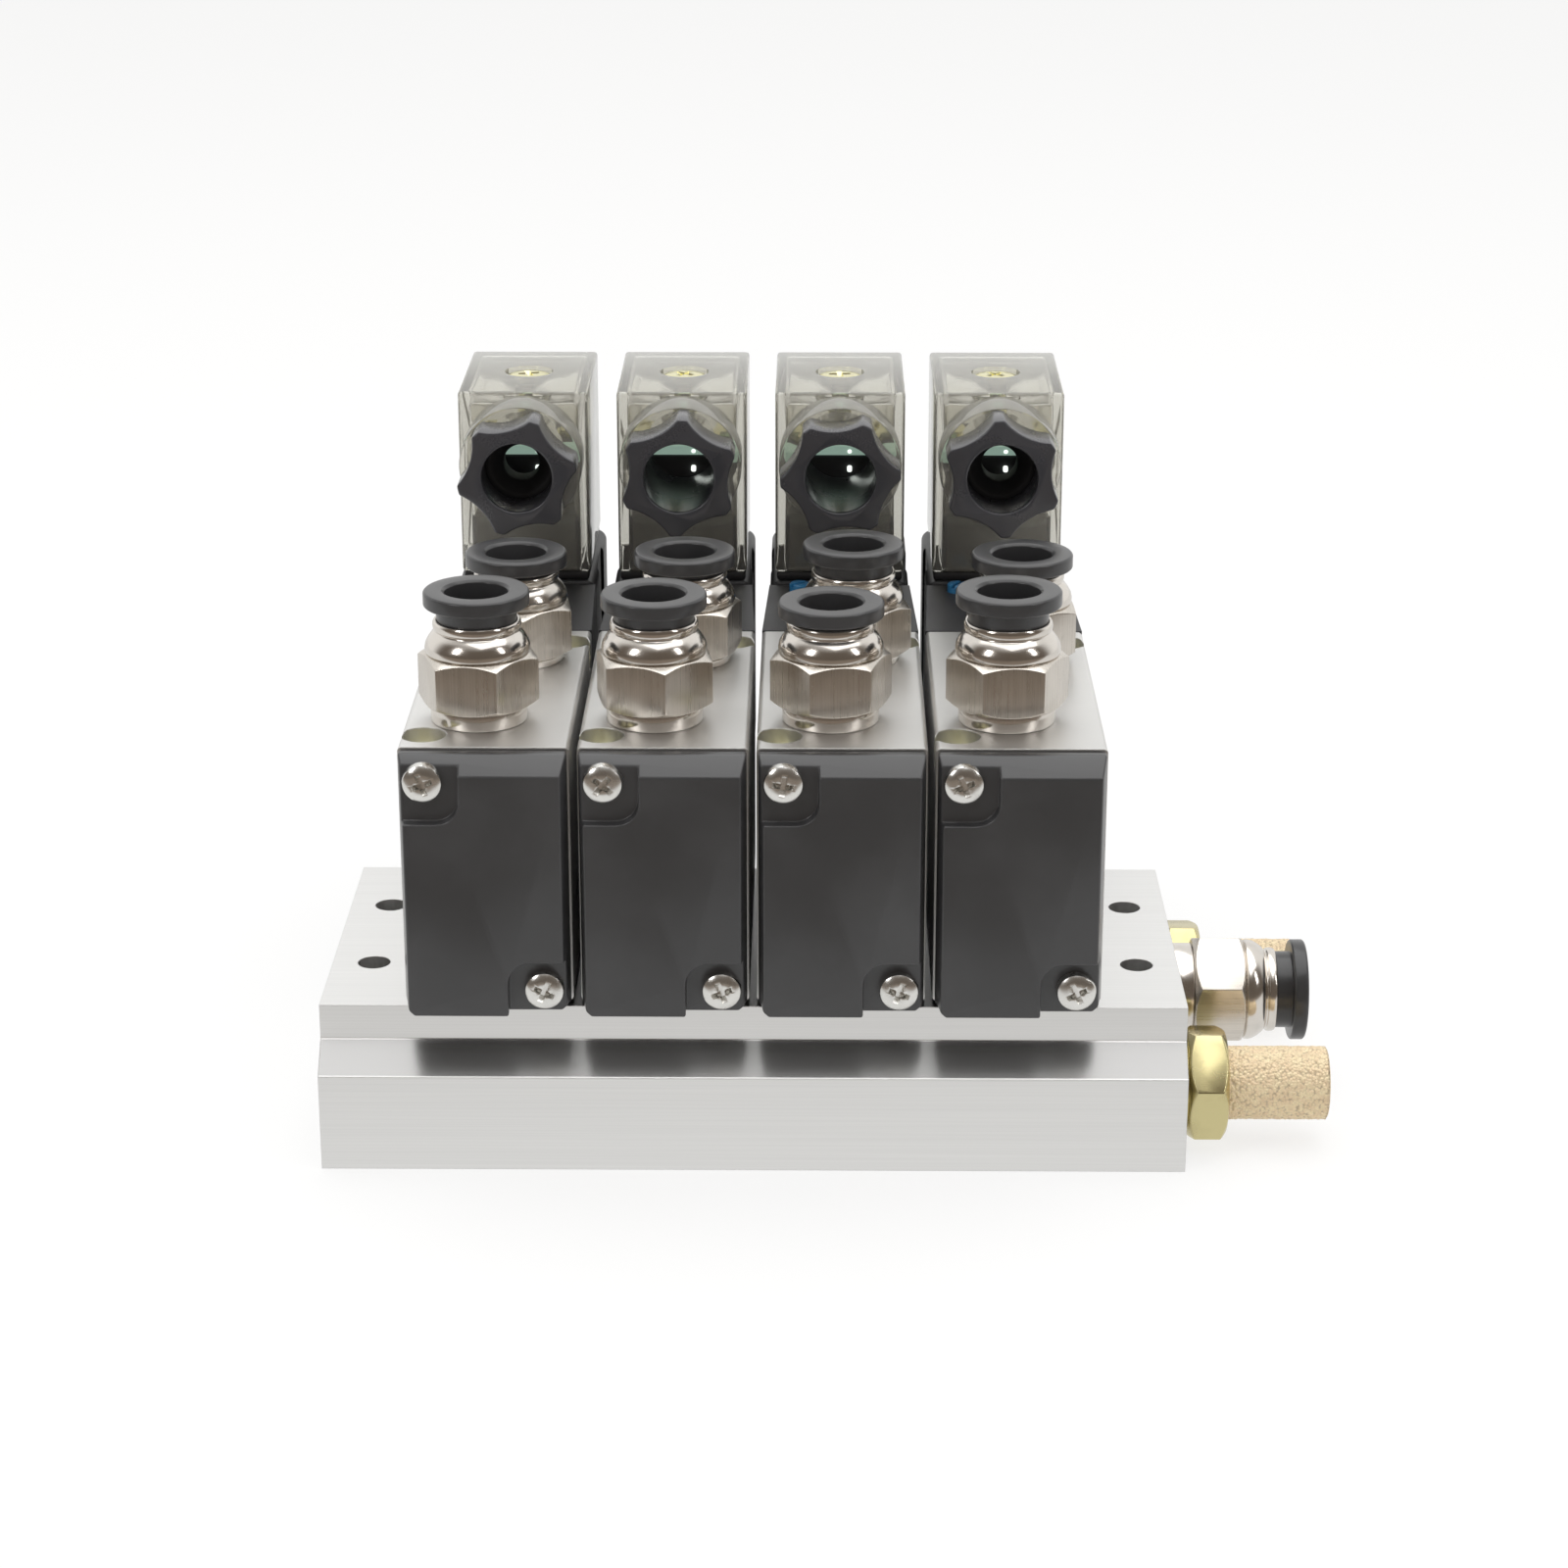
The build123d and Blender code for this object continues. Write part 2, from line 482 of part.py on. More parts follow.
with BuildPart() as connector_screws:
    spots = [(x, PLUG_MID) for x in STATIONS]
    with BuildSketch(Plane.XY.offset(PLUG_Z1 - LID_SINK)):
        with Locations(spots):
            Circle(LID_HEAD_R)
    extrude(amount=0.9)
    with BuildSketch(Plane.XY.offset(PLUG_Z1 - LID_SINK)):
        with Locations(spots):
            Circle(LID_SCREW_R)
    extrude(amount=-(PLUG_Z1 - LID_SINK - TOP_Z))
    with BuildSketch(Plane.XY.offset(PLUG_Z1 - LID_SINK + 0.9)):
        with Locations(spots):
            Rectangle(1.5 * LID_HEAD_R, 0.8)
    extrude(amount=-0.5, mode=Mode.SUBTRACT)
keep(connector_screws.part, "connector_screws")

with BuildPart() as coil_nuts:
    with BuildSketch(Plane.XZ.offset(-COIL_Y1)):
        with Locations([(x, BORE_Z) for x in STATIONS]):
            RegularPolygon(7.5, 6)
    extrude(amount=-NUT_H)
    with BuildSketch(Plane.XZ.offset(-COIL_Y1 - NUT_H)):
        with Locations([(x, BORE_Z) for x in STATIONS]):
            Circle(6.1)
    extrude(amount=-1.6, taper=20)
    with BuildSketch(Plane.XZ.offset(-COIL_Y1)):
        with Locations([(x, BORE_Z) for x in STATIONS]):
            Circle(TUBE_R + FIT)
    extrude(amount=-NUT_H - 1.6, mode=Mode.SUBTRACT)
keep(coil_nuts.part, "coil_nuts")

# star-shaped gland nuts: six rounded ridges with hollow flanks between them, screwed on the boss's neck
with BuildPart() as gland_nuts:
    for x, turn in zip(STATIONS, GLAND_TURN):
        with BuildSketch(Plane.XZ.offset(-GLAND_FRONT)) as star:
            with Locations((x, GLAND_Z)):
                Circle(GLAND_R)
                with PolarLocations(GLAND_VALLEY + SCALLOP_R, 6, start_angle=turn + 30):
                    Circle(SCALLOP_R, mode=Mode.SUBTRACT)
            fillet(star.vertices(), 0.7)
        extrude(amount=-(BOSS_FRONT - GLAND_FRONT - 0.2))
    with BuildSketch(Plane.XZ.offset(-GLAND_FRONT)):
        with Locations([(x, GLAND_Z) for x in STATIONS]):
            Circle(GLAND_BORE)
    extrude(amount=-GLAND_LIP - 0.1, mode=Mode.SUBTRACT)
    with BuildSketch(Plane.XZ.offset(-GLAND_FRONT - GLAND_LIP)):
        with Locations([(x, GLAND_Z) for x in STATIONS]):
            Circle(NECK_R + FIT)
    extrude(amount=-(BOSS_FRONT - GLAND_FRONT), mode=Mode.SUBTRACT)
keep(gland_nuts.part, "gland_nuts")

# ---------------------------------------------------------------- push-in fittings
def push_in(seat):
    """Half section of a push-in fitting from its thread end to its collar, as (radius, height) points."""
    hex_top = seat + HEX_H
    dome = hex_top + SHOULDER_H
    return [
        (TUBE_BORE - 1.3, -THREAD_L), (PORT_R - FIT, -THREAD_L), (PORT_R - FIT, 0.0), (6.35, 0.0),
        (6.35, seat), (6.5, seat), (6.5, hex_top), (6.9, hex_top + 0.2), (6.9, hex_top + 0.9),
        (6.6, hex_top + 1.9), (5.9, dome), (5.55, dome), (5.75, dome + 0.3),
        (5.75, dome + COLLAR_H - 0.3), (5.5, dome + COLLAR_H), (SLEEVE_R + RUN, dome + COLLAR_H),
        (SLEEVE_R + RUN, seat + SOCKET), (TUBE_BORE, seat + SOCKET), (TUBE_BORE, TUBE_STOP),
        (TUBE_BORE - 1.3, TUBE_STOP - 1.0),
    ]


def release_ring(base):
    """Half section of a release ring whose flange sits at the height base."""
    return [
        (TUBE_BORE, base - RING_SLEEVE), (SLEEVE_R, base - RING_SLEEVE), (SLEEVE_R, base),
        (RING_R - 0.2, base),
        (RING_R, base + 0.3), (RING_R, base + RING_H - 0.4), (RING_R - 0.3, base + RING_H),
        (TUBE_BORE + 0.5, base + RING_H), (TUBE_BORE, base + RING_H - 0.6),
    ]


def collar(seat):
    """Height of the collar's top over the fitting's seat."""
    return seat + HEX_H + SHOULDER_H + COLLAR_H


with BuildPart() as fitting_a:
    with BuildSketch(Plane.XY.offset(TOP_Z + SEAT_FRONT)):
        with Locations(PORT_A):
            RegularPolygon(HEX_AF / 2, 6, major_radius=False, rotation=38)
    extrude(amount=HEX_H)
    chamfer(fitting_a.faces().sort_by(Axis.Z)[-1].edges(), 0.5)
    with BuildSketch(Plane.XZ.offset(-PORT_A[1])):
        with BuildLine():
            Polyline([(PORT_A[0] + r, TOP_Z + h) for r, h in push_in(SEAT_FRONT)], close=True)
        make_face()
    revolve(axis=Axis((PORT_A[0], PORT_A[1], 0), (0, 0, 1)))
    with BuildSketch(Plane.XY.offset(TOP_Z + SEAT_FRONT + SOCKET)):
        with Locations(PORT_A):
            Circle(SLEEVE_R + RUN)
    extrude(amount=2 * HEX_AF, mode=Mode.SUBTRACT)
    with BuildSketch(Plane.XY.offset(TOP_Z + TUBE_STOP)):
        with Locations(PORT_A):
            Circle(TUBE_BORE)
    extrude(amount=2 * HEX_AF, mode=Mode.SUBTRACT)

with BuildPart() as fitting_b:
    with BuildSketch(Plane.XY.offset(TOP_Z + SEAT_BACK)):
        with Locations(PORT_B):
            RegularPolygon(HEX_AF / 2, 6, major_radius=False, rotation=12)
    extrude(amount=HEX_H)
    chamfer(fitting_b.faces().sort_by(Axis.Z)[-1].edges(), 0.5)
    with BuildSketch(Plane.XZ.offset(-PORT_B[1])):
        with BuildLine():
            Polyline([(PORT_B[0] + r, TOP_Z + h) for r, h in push_in(SEAT_BACK)], close=True)
        make_face()
    revolve(axis=Axis((PORT_B[0], PORT_B[1], 0), (0, 0, 1)))
    with BuildSketch(Plane.XY.offset(TOP_Z + SEAT_BACK + SOCKET)):
        with Locations(PORT_B):
            Circle(SLEEVE_R + RUN)
    extrude(amount=2 * HEX_AF, mode=Mode.SUBTRACT)
    with BuildSketch(Plane.XY.offset(TOP_Z + TUBE_STOP)):
        with Locations(PORT_B):
            Circle(TUBE_BORE)
    extrude(amount=2 * HEX_AF, mode=Mode.SUBTRACT)

with BuildPart() as inlet_fitting:
    with BuildSketch(Plane.YZ.offset(BAR_L / 2 + SEAT_INLET)):
        with Locations((0, SUPPLY_Z)):
            RegularPolygon(HEX_AF / 2, 6, major_radius=False, rotation=8)
    extrude(amount=HEX_H)
    chamfer(inlet_fitting.faces().sort_by(Axis.X)[-1].edges(), 0.5)
    with BuildSketch(Plane.XY.offset(SUPPLY_Z)):
        with BuildLine():
            Polyline([(BAR_L / 2 + h, r) for r, h in push_in(SEAT_INLET)], close=True)
        make_face()
    revolve(axis=Axis((0, 0, SUPPLY_Z), (1, 0, 0)))
    with BuildSketch(Plane.YZ.offset(BAR_L / 2 + SEAT_INLET + SOCKET)):
        with Locations((0, SUPPLY_Z)):
            Circle(SLEEVE_R + RUN)
    extrude(amount=2 * HEX_AF, mode=Mode.SUBTRACT)
    with BuildSketch(Plane.YZ.offset(BAR_L / 2 + TUBE_STOP)):
        with Locations((0, SUPPLY_Z)):
            Circle(TUBE_BORE)
    extrude(amount=2 * HEX_AF, mode=Mode.SUBTRACT)
keep(inlet_fitting.part, "inlet_fitting")

with BuildPart() as inlet_ring:
    with BuildSketch(Plane.XY.offset(SUPPLY_Z)):
        with BuildLine():
            Polyline(
                [(BAR_L / 2 + h, r) for r, h in release_ring(collar(SEAT_INLET) + RING_GAP_INLET)],
                close=True,
            )
        make_face()
    revolve(axis=Axis((0, 0, SUPPLY_Z), (1, 0, 0)))
keep(inlet_ring.part, "inlet_ring")

# ---------------------------------------------------------------- silencers and plugs
for name, y in (("silencer_front", -EXHAUST_Y), ("silencer_rear", EXHAUST_Y)):
    with BuildPart() as silencer:
        with BuildSketch(Plane.YZ.offset(BAR_L / 2 + SILENCER_FLANGE)):
            with Locations((y, EXHAUST_Z)):
                RegularPolygon(SILENCER_HEX / 2, 6, major_radius=False, rotation=SILENCER_TURN)
        extrude(amount=SILENCER_HEAD)
        chamfer(silencer.faces().sort_by(Axis.X)[-1].edges(), 0.6)
        chamfer(silencer.faces().sort_by(Axis.X)[0].edges(), 0.6)
        head = BAR_L / 2 + SILENCER_FLANGE + SILENCER_HEAD
        with BuildSketch(Plane.YZ.offset(BAR_L / 2)):
            with Locations((y, EXHAUST_Z)):
                Circle(6.2)
        extrude(amount=SILENCER_FLANGE)
        with BuildSketch(Plane.YZ.offset(BAR_L / 2)):
            with Locations((y, EXHAUST_Z)):
                Circle(PORT_R - FIT)
        extrude(amount=-SILENCER_STEM)
        with BuildSketch(Plane.YZ.offset(head)):
            with Locations((y, EXHAUST_Z)):
                Circle(SILENCER_R)
        extrude(amount=SILENCER_L)
        with BuildSketch(Plane.YZ.offset(BAR_L / 2 - SILENCER_STEM)):
            with Locations((y, EXHAUST_Z)):
                Circle(SILENCER_R - 2.0)
        extrude(amount=head - BAR_L / 2 + SILENCER_STEM + SILENCER_L - 2.4, mode=Mode.SUBTRACT)
    keep(silencer.part, name)

with BuildPart() as port_plugs:
    with BuildSketch(Plane.YZ.offset(-BAR_L / 2 + PLUG_SINK)):
        with Locations((0, SUPPLY_Z), (-EXHAUST_Y, EXHAUST_Z), (EXHAUST_Y, EXHAUST_Z)):
            Circle(PORT_R - FIT)
    extrude(amount=PLUG_LENGTH)
    with BuildSketch(Plane.YZ.offset(-BAR_L / 2 + PLUG_SINK)):
        with Locations((0, SUPPLY_Z), (-EXHAUST_Y, EXHAUST_Z), (EXHAUST_Y, EXHAUST_Z)):
            RegularPolygon(2.5, 6, major_radius=False)
    extrude(amount=4.0, mode=Mode.SUBTRACT)
keep(port_plugs.part, "port_plugs")

# ---------------------------------------------------------------- the four stations
blanks = {
    "valve_body": valve_body, "end_cap": end_cap, "pilot_body": pilot_body,
    "override_button": override_button, "spool": spool, "coil": coil,
    "connector_housing": connector_housing, "connector_insert": connector_insert,
    "fitting_a": fitting_a, "fitting_b": fitting_b,
}
for station, x in enumerate(STATIONS, start=1):
    for name, blank in blanks.items():
        keep(Pos(x, 0, 0) * blank.part, f"{name}_{station}")
    rings = (
        ("ring_a", PORT_A, SEAT_FRONT, RING_GAPS_A[station - 1]),
        ("ring_b", PORT_B, SEAT_BACK, RING_GAPS_B[station - 1]),
    )
    for name, (px, py), seat, gap in rings:
        with BuildPart() as ring:
            with BuildSketch(Plane.XZ.offset(-py)):
                with BuildLine():
                    Polyline(
                        [(x + px + r, TOP_Z + h) for r, h in release_ring(collar(seat) + gap)], close=True,
                    )
                make_face()
            revolve(axis=Axis((x + px, py, 0), (0, 0, 1)))
        keep(ring.part, f"{name}_{station}")
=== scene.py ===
"""Dresses a pneumatic valve island: four solenoid valves in a row on an aluminium manifold bar."""

from __future__ import annotations

import logging
import math
from dataclasses import dataclass
from enum import Enum
from typing import Any, Callable, Iterable, Sequence

import bmesh
import bpy
from mathutils import Matrix, Vector, noise

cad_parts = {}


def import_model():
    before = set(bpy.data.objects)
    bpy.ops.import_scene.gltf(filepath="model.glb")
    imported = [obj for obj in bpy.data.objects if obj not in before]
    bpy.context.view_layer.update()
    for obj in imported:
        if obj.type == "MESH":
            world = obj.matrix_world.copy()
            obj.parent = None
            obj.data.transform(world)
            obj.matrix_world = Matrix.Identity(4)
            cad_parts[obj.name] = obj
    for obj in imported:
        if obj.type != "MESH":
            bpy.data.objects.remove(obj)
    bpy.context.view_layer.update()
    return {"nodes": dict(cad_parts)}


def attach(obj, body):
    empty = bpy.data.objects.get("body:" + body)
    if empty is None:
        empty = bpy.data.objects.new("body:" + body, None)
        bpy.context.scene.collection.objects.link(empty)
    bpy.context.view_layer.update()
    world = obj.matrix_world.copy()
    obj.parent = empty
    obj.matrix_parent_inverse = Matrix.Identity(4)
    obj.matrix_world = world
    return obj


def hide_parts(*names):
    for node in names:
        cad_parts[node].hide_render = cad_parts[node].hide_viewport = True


LOG = logging.getLogger("valve_island")
MM = 0.001
AXIS_R = 0.01
PAST = 1.0
SAME_POINT = 1e-5
SLIVER = 1e-4
Point = tuple[float, float]
Place = tuple[float, float, float]
Colour = tuple[float, float, float]


class Axis(Enum):
    """The direction in which a turned piece points."""

    UP = "z"
    RIGHT = "x"
    FRONT = "-y"
    BACK = "y"

    def turn(self) -> Matrix:
        """Finds the rotation for this direction.

        Returns:
            The rotation that carries +Z to it.
        """
        return {
            Axis.UP: Matrix.Identity(4),
            Axis.RIGHT: Matrix.Rotation(math.radians(90), 4, "Y"),
            Axis.FRONT: Matrix.Rotation(math.radians(90), 4, "X"),
            Axis.BACK: Matrix.Rotation(math.radians(-90), 4, "X"),
        }[self]


# ---------------------------------------------------------------------------------------------
# Shader maths
# ---------------------------------------------------------------------------------------------
@dataclass(frozen=True)
class Signal:
    """One number or colour that varies over a surface."""

    tree: "Tree"
    socket: bpy.types.NodeSocket

    def _math(self, operation: str, *others: "Signal | float") -> "Signal":
        """A Math node on this signal and the others."""
        return self.tree.node("ShaderNodeMath", {"operation": operation}, self, *others)

    def __add__(self, other: "Signal | float") -> "Signal":
        """Sum."""
        return self._math("ADD", other)

    __radd__ = __add__

    def __mul__(self, other: "Signal | float") -> "Signal":
        """Product."""
        return self._math("MULTIPLY", other)

    __rmul__ = __mul__

    def __sub__(self, other: "Signal | float") -> "Signal":
        """Difference."""
        return self._math("SUBTRACT", other)

    def __rsub__(self, other: float) -> "Signal":
        """Reflected difference."""
        return self.tree.node("ShaderNodeMath", {"operation": "SUBTRACT"}, other, self)

    def step(self, low: float, high: float) -> "Signal":
        """Smooth rise from 0 at low to 1 at high.

        Args:
            low: where the rise starts.
            high: where it ends; below low, the step falls.

        Returns:
            A signal from 0 to 1.
        """
        if low > high:
            return 1.0 - self.step(high, low)
        return self.tree.node(
            "ShaderNodeMapRange", {"interpolation_type": "SMOOTHSTEP"}, self, low, high, 0.0, 1.0
        )


class Tree:
    """The node tree of one material or world, with one way to add a node."""

    def __init__(self, owner: bpy.types.Material | bpy.types.World) -> None:
        """Empties the owner's tree.

        Args:
            owner: the material or world whose nodes are written.
        """
        owner.use_nodes = True
        self.nodes = owner.node_tree.nodes
        self.links = owner.node_tree.links
        self.nodes.clear()

    def node(
        self, kind: str, settings: dict[str, Any] | None = None, *values: Any, out: int | str = 0,
        **named: Any,
    ) -> Signal:
        """Adds a node.

        Args:
            kind: the node's type.
            settings: its own settings, set before its sockets.
            *values: numbers, colours or signals for its inputs in order; None leaves one alone.
            out: which output to return.
            **named: the same for inputs by name, with _ for a space.

        Returns:
            The chosen output.
        """
        made = self.nodes.new(kind)
        for key, value in (settings or {}).items():
            setattr(made, key, value)
        pairs = [(made.inputs[n], value) for n, value in enumerate(values)]
        pairs += [(made.inputs[name.replace("_", " ")], value) for name, value in named.items()]
        for socket, value in pairs:
            if isinstance(value, Signal):
                self.links.new(value.socket, socket)
            elif value is not None:
                socket.default_value = value
        return Signal(self, made.outputs[out] if len(made.outputs) else None)

    def place(self, scale: Sequence[float] = (1.0, 1.0, 1.0)) -> Signal:
        """The point on the object in metres, stretched by scale."""
        point = self.node("ShaderNodeTexCoord", out="Object")
        return self.node("ShaderNodeMapping", {"vector_type": "POINT"}, point, None, None, tuple(scale))

    def axis(self, name: str) -> Signal:
        """One coordinate of the point on the object, in metres."""
        return self.node("ShaderNodeSeparateXYZ", None, self.place(), out=name)

    def noise(
        self, scale: float, detail: float = 3.0, stretch: Sequence[float] = (1.0, 1.0, 1.0)
    ) -> Signal:
        """Fractal noise around 0.5."""
        return self.node(
            "ShaderNodeTexNoise", {"noise_dimensions": "3D"}, Vector=self.place(stretch), Scale=scale,
            Detail=detail, out="Fac",
        )

    def blend(
        self, mask: Signal, first: Signal | Sequence[float], second: Signal | Sequence[float]
    ) -> Signal:
        """Mixes two colours.

        Args:
            mask: 0 for the first colour, 1 for the second.
            first: a colour or a signal.
            second: a colour or a signal.

        Returns:
            The mixed colour.
        """
        made = self.nodes.new("ShaderNodeMix")
        made.data_type = "RGBA"
        self.links.new(mask.socket, made.inputs[0])
        colours = [socket for socket in made.inputs if socket.type == "RGBA"]
        for socket, colour in zip(colours, (first, second)):
            if isinstance(colour, Signal):
                self.links.new(colour.socket, socket)
            else:
                socket.default_value = (*colour, 1.0)
        mixed = next(socket for socket in made.outputs if socket.type == "RGBA")
        return Signal(self, mixed)

    def relief(self, height: Signal, depth: float, normal: Signal | None = None) -> Signal:
        """A bump from a height signal, depth in metres."""
        return self.node("ShaderNodeBump", None, 1.0, depth, Height=height, Normal=normal)

    def tilted(self, normal: Signal | None, mask: Signal, up: float) -> Signal:
        """Leans a normal upwards where the mask is 1.

        Args:
            normal: the normal to lean; None takes the mesh's own.
            mask: where it leans.
            up: how far, as a share of the normal's length.

        Returns:
            The leant normal.
        """
        base = normal or self.node("ShaderNodeNewGeometry", out="Normal")
        lean = self.node("ShaderNodeCombineXYZ", None, 0.0, 0.0, mask * up)
        leant = self.node("ShaderNodeVectorMath", {"operation": "ADD"}, base, lean)
        return self.node("ShaderNodeVectorMath", {"operation": "NORMALIZE"}, leant)

    def round_edges(self, radius: float) -> Signal:
        """A normal that rolls over sharp edges."""
        return self.node("ShaderNodeBevel", {"samples": 4}, radius)


# ---------------------------------------------------------------------------------------------
# Finishes
# ---------------------------------------------------------------------------------------------
def shaded(colour: Colour, share: float) -> Colour:
    """A colour made darker or lighter by a share, never past white."""
    return tuple(min(1.0, part * share) for part in colour)


@dataclass(frozen=True)
class Finish:
    """A surface finish; subclasses say what varies over it."""

    name: str
    colour: Colour
    roughness: float = 0.4
    metallic: float = 0.0
    edge: float = 0.0

    def constants(self) -> dict[str, Any]:
        """Settings that are the same all over the surface, by socket."""
        return {}

    def vary(self, tree: Tree) -> dict[str, Signal]:
        """Slight mottling and a fine grain.

        Args:
            tree: the material's nodes.

        Returns:
            What changes over the surface, by socket.
        """
        mottle = tree.noise(60.0)
        return {
            "Roughness": self.roughness - 0.04 + mottle * 0.08,
            "Normal": tree.relief(tree.noise(9000.0, 2.0), 0.000004, self.rolled(tree)),
        }

    def rolled(self, tree: Tree) -> Signal | None:
        """The rounded-edge normal, where the finish has one."""
        return tree.round_edges(self.edge) if self.edge else None

    def make(self) -> bpy.types.Material:
        """Builds the material the first time and finds it again later.

        Returns:
            The finish's only material.
        """
        title = self.name + "_finish"
        known = bpy.data.materials.get(title)
        if known:
            return known
        material = bpy.data.materials.new(title)
        tree = Tree(material)
        shader = tree.nodes.new("ShaderNodeBsdfPrincipled")
        shader.inputs["Base Color"].default_value = (*self.colour, 1.0)
        shader.inputs["Roughness"].default_value = self.roughness
        shader.inputs["Metallic"].default_value = self.metallic
        for socket, value in self.constants().items():
            shader.inputs[socket].default_value = value
        for socket, signal in self.vary(tree).items():
            tree.links.new(signal.socket, shader.inputs[socket])
        tree.node("ShaderNodeOutputMaterial", None, Signal(tree, shader.outputs[0]))
        material.diffuse_color = (*self.colour, 1.0)
        return material


@dataclass(frozen=True)
class BrushedBar(Finish):
    """Extruded aluminium brushed along X, with a smooth band between two heights in metres whose colour is
    darkened as painted shade: the dark reflection of the caps' undersides in the slanted face.
    """

    band_from: float = 0.0134
    band_to: float = 0.0168
    band_fade: float = 0.0002
    # band_painted_shade is the share of the colour kept in the band: painted shade for the caps' dark
    # reflection.
    band_painted_shade: float = 0.42
    band_haze: float = 0.25
    band_gloss: float = 0.3
    band_lean: float = 0.28
    scratch: Place = (25.0, 5200.0, 5200.0)
    streak: Place = (6.0, 420.0, 420.0)
    depth: float = 0.0000022

    def vary(self, tree: Tree) -> dict[str, Signal]:
        """Long fine scratches, absent from the band.

        Args:
            tree: the material's nodes.

        Returns:
            What changes over the surface, by socket.
        """
        lines = tree.noise(1.0, 4.0, self.scratch)
        broad = tree.noise(1.0, 2.0, self.streak)
        height = tree.axis("Z")
        above = height.step(self.band_from - self.band_fade, self.band_from)
        band = above * height.step(self.band_to + self.band_fade, self.band_to)
        shade = lines * 0.75 + broad * 0.25
        dull = tree.blend(shade.step(0.3, 0.7), shaded(self.colour, 0.95), self.colour)
        brushed = tree.relief(lines * (1.0 - band), self.depth, self.rolled(tree))
        return {
            # Painted shade: the band's colour is darkened to stand for the dark reflection of the caps'
            # undersides in the slanted face.
            "Base Color": tree.blend(band, dull, shaded(self.colour, self.band_painted_shade)),
            "Metallic": 1.0 - band * self.band_haze,
            "Roughness": (self.roughness - 0.03 + shade * 0.06) * (1.0 - band * self.band_gloss),
            "Normal": tree.tilted(brushed, band, self.band_lean),
        }


@dataclass(frozen=True)
class Drawn(Finish):
    """Plated hexagon bar with fine draw lines along its length."""

    stretch: Place = (5200.0, 5200.0, 70.0)
    worn: float = 0.82
    depth: float = 0.000004

    def vary(self, tree: Tree) -> dict[str, Signal]:
        """Streaks, each a little lighter or duller, and small nicks.

        Args:
            tree: the material's nodes.

        Returns:
            What changes over the surface, by socket.
        """
        streak = tree.noise(1.0, 4.0, self.stretch)
        cloud = tree.noise(240.0, 4.0)
        nick = tree.noise(1500.0, 2.0).step(0.66, 0.72)
        shade = streak * 0.6 + cloud * 0.4
        return {
            "Base Color": tree.blend(shade.step(0.3, 0.7), shaded(self.colour, self.worn), self.colour),
            "Roughness": self.roughness - 0.05 + streak * 0.14 + nick * 0.1,
            "Normal": tree.relief(streak - nick * 0.6, self.depth, self.rolled(tree)),
        }


@dataclass(frozen=True)
class SatinMetal(Finish):
    """Fine blasted or anodised aluminium."""

    grain: float = 12000.0
    cloud: float = 45.0
    clouded: float = 0.93
    depth: float = 0.000003

    def vary(self, tree: Tree) -> dict[str, Signal]:
        """Fine grain with slow clouding.

        Args:
            tree: the material's nodes.

        Returns:
            What changes over the surface, by socket.
        """
        cloud = tree.noise(self.cloud, 4.0)
        grain = tree.noise(self.grain, 2.0)
        return {
            "Base Color": tree.blend(cloud.step(0.3, 0.7), shaded(self.colour, self.clouded), self.colour),
            "Roughness": self.roughness - 0.05 + cloud * 0.06 + grain * 0.06,
            "Normal": tree.relief(grain, self.depth, self.rolled(tree)),
        }


@dataclass(frozen=True)
class Plated(Finish):
    """Bright plating over turned metal: lathe rings and slow waves."""

    lathe: Place = (300.0, 300.0, 9000.0)
    lathe_depth: float = 0.0000012
    wave: float = 130.0
    wave_depth: float = 0.00002
    stained: float = 0.9

    def vary(self, tree: Tree) -> dict[str, Signal]:
        """Lathe rings, faint stains and waves in the plating.

        Args:
            tree: the material's nodes.

        Returns:
            What changes over the surface, by socket.
        """
        wave = tree.noise(self.wave, 3.0)
        scratch = tree.noise(1.0, 3.0, self.lathe)
        stain = tree.noise(260.0, 5.0).step(0.45, 0.75)
        waved = tree.relief(wave, self.wave_depth, self.rolled(tree))
        return {
            "Base Color": tree.blend(stain, self.colour, shaded(self.colour, self.stained)),
            "Roughness": self.roughness + stain * 0.08 + wave * 0.05,
            "Normal": tree.relief(scratch, self.lathe_depth, waved),
        }


@dataclass(frozen=True)
class Moulded(Finish):
    """Moulded plastic with a fine spark texture."""

    texture: float = 4500.0
    depth: float = 0.000006
    coat: float = 0.0
    bloomed: float = 1.25
    dust: float = 0.002

    def constants(self) -> dict[str, Any]:
        """The gloss layer's amount."""
        return {"Coat Weight": self.coat, "Coat Roughness": 0.18, "Specular IOR Level": 0.5}

    def vary(self, tree: Tree) -> dict[str, Signal]:
        """Spark texture, slight bloom and dust.

        Args:
            tree: the material's nodes.

        Returns:
            What changes over the surface, by socket.
        """
        spark = tree.noise(self.texture, 3.0)
        bloom = tree.noise(70.0, 4.0).step(0.35, 0.75)
        dusty = tuple(part + self.dust for part in shaded(self.colour, self.bloomed))
        return {
            "Base Color": tree.blend(bloom, self.colour, dusty),
            "Roughness": self.roughness + bloom * 0.07 + spark * 0.05 - 0.04,
            "Normal": tree.relief(spark, self.depth, self.rolled(tree)),
        }


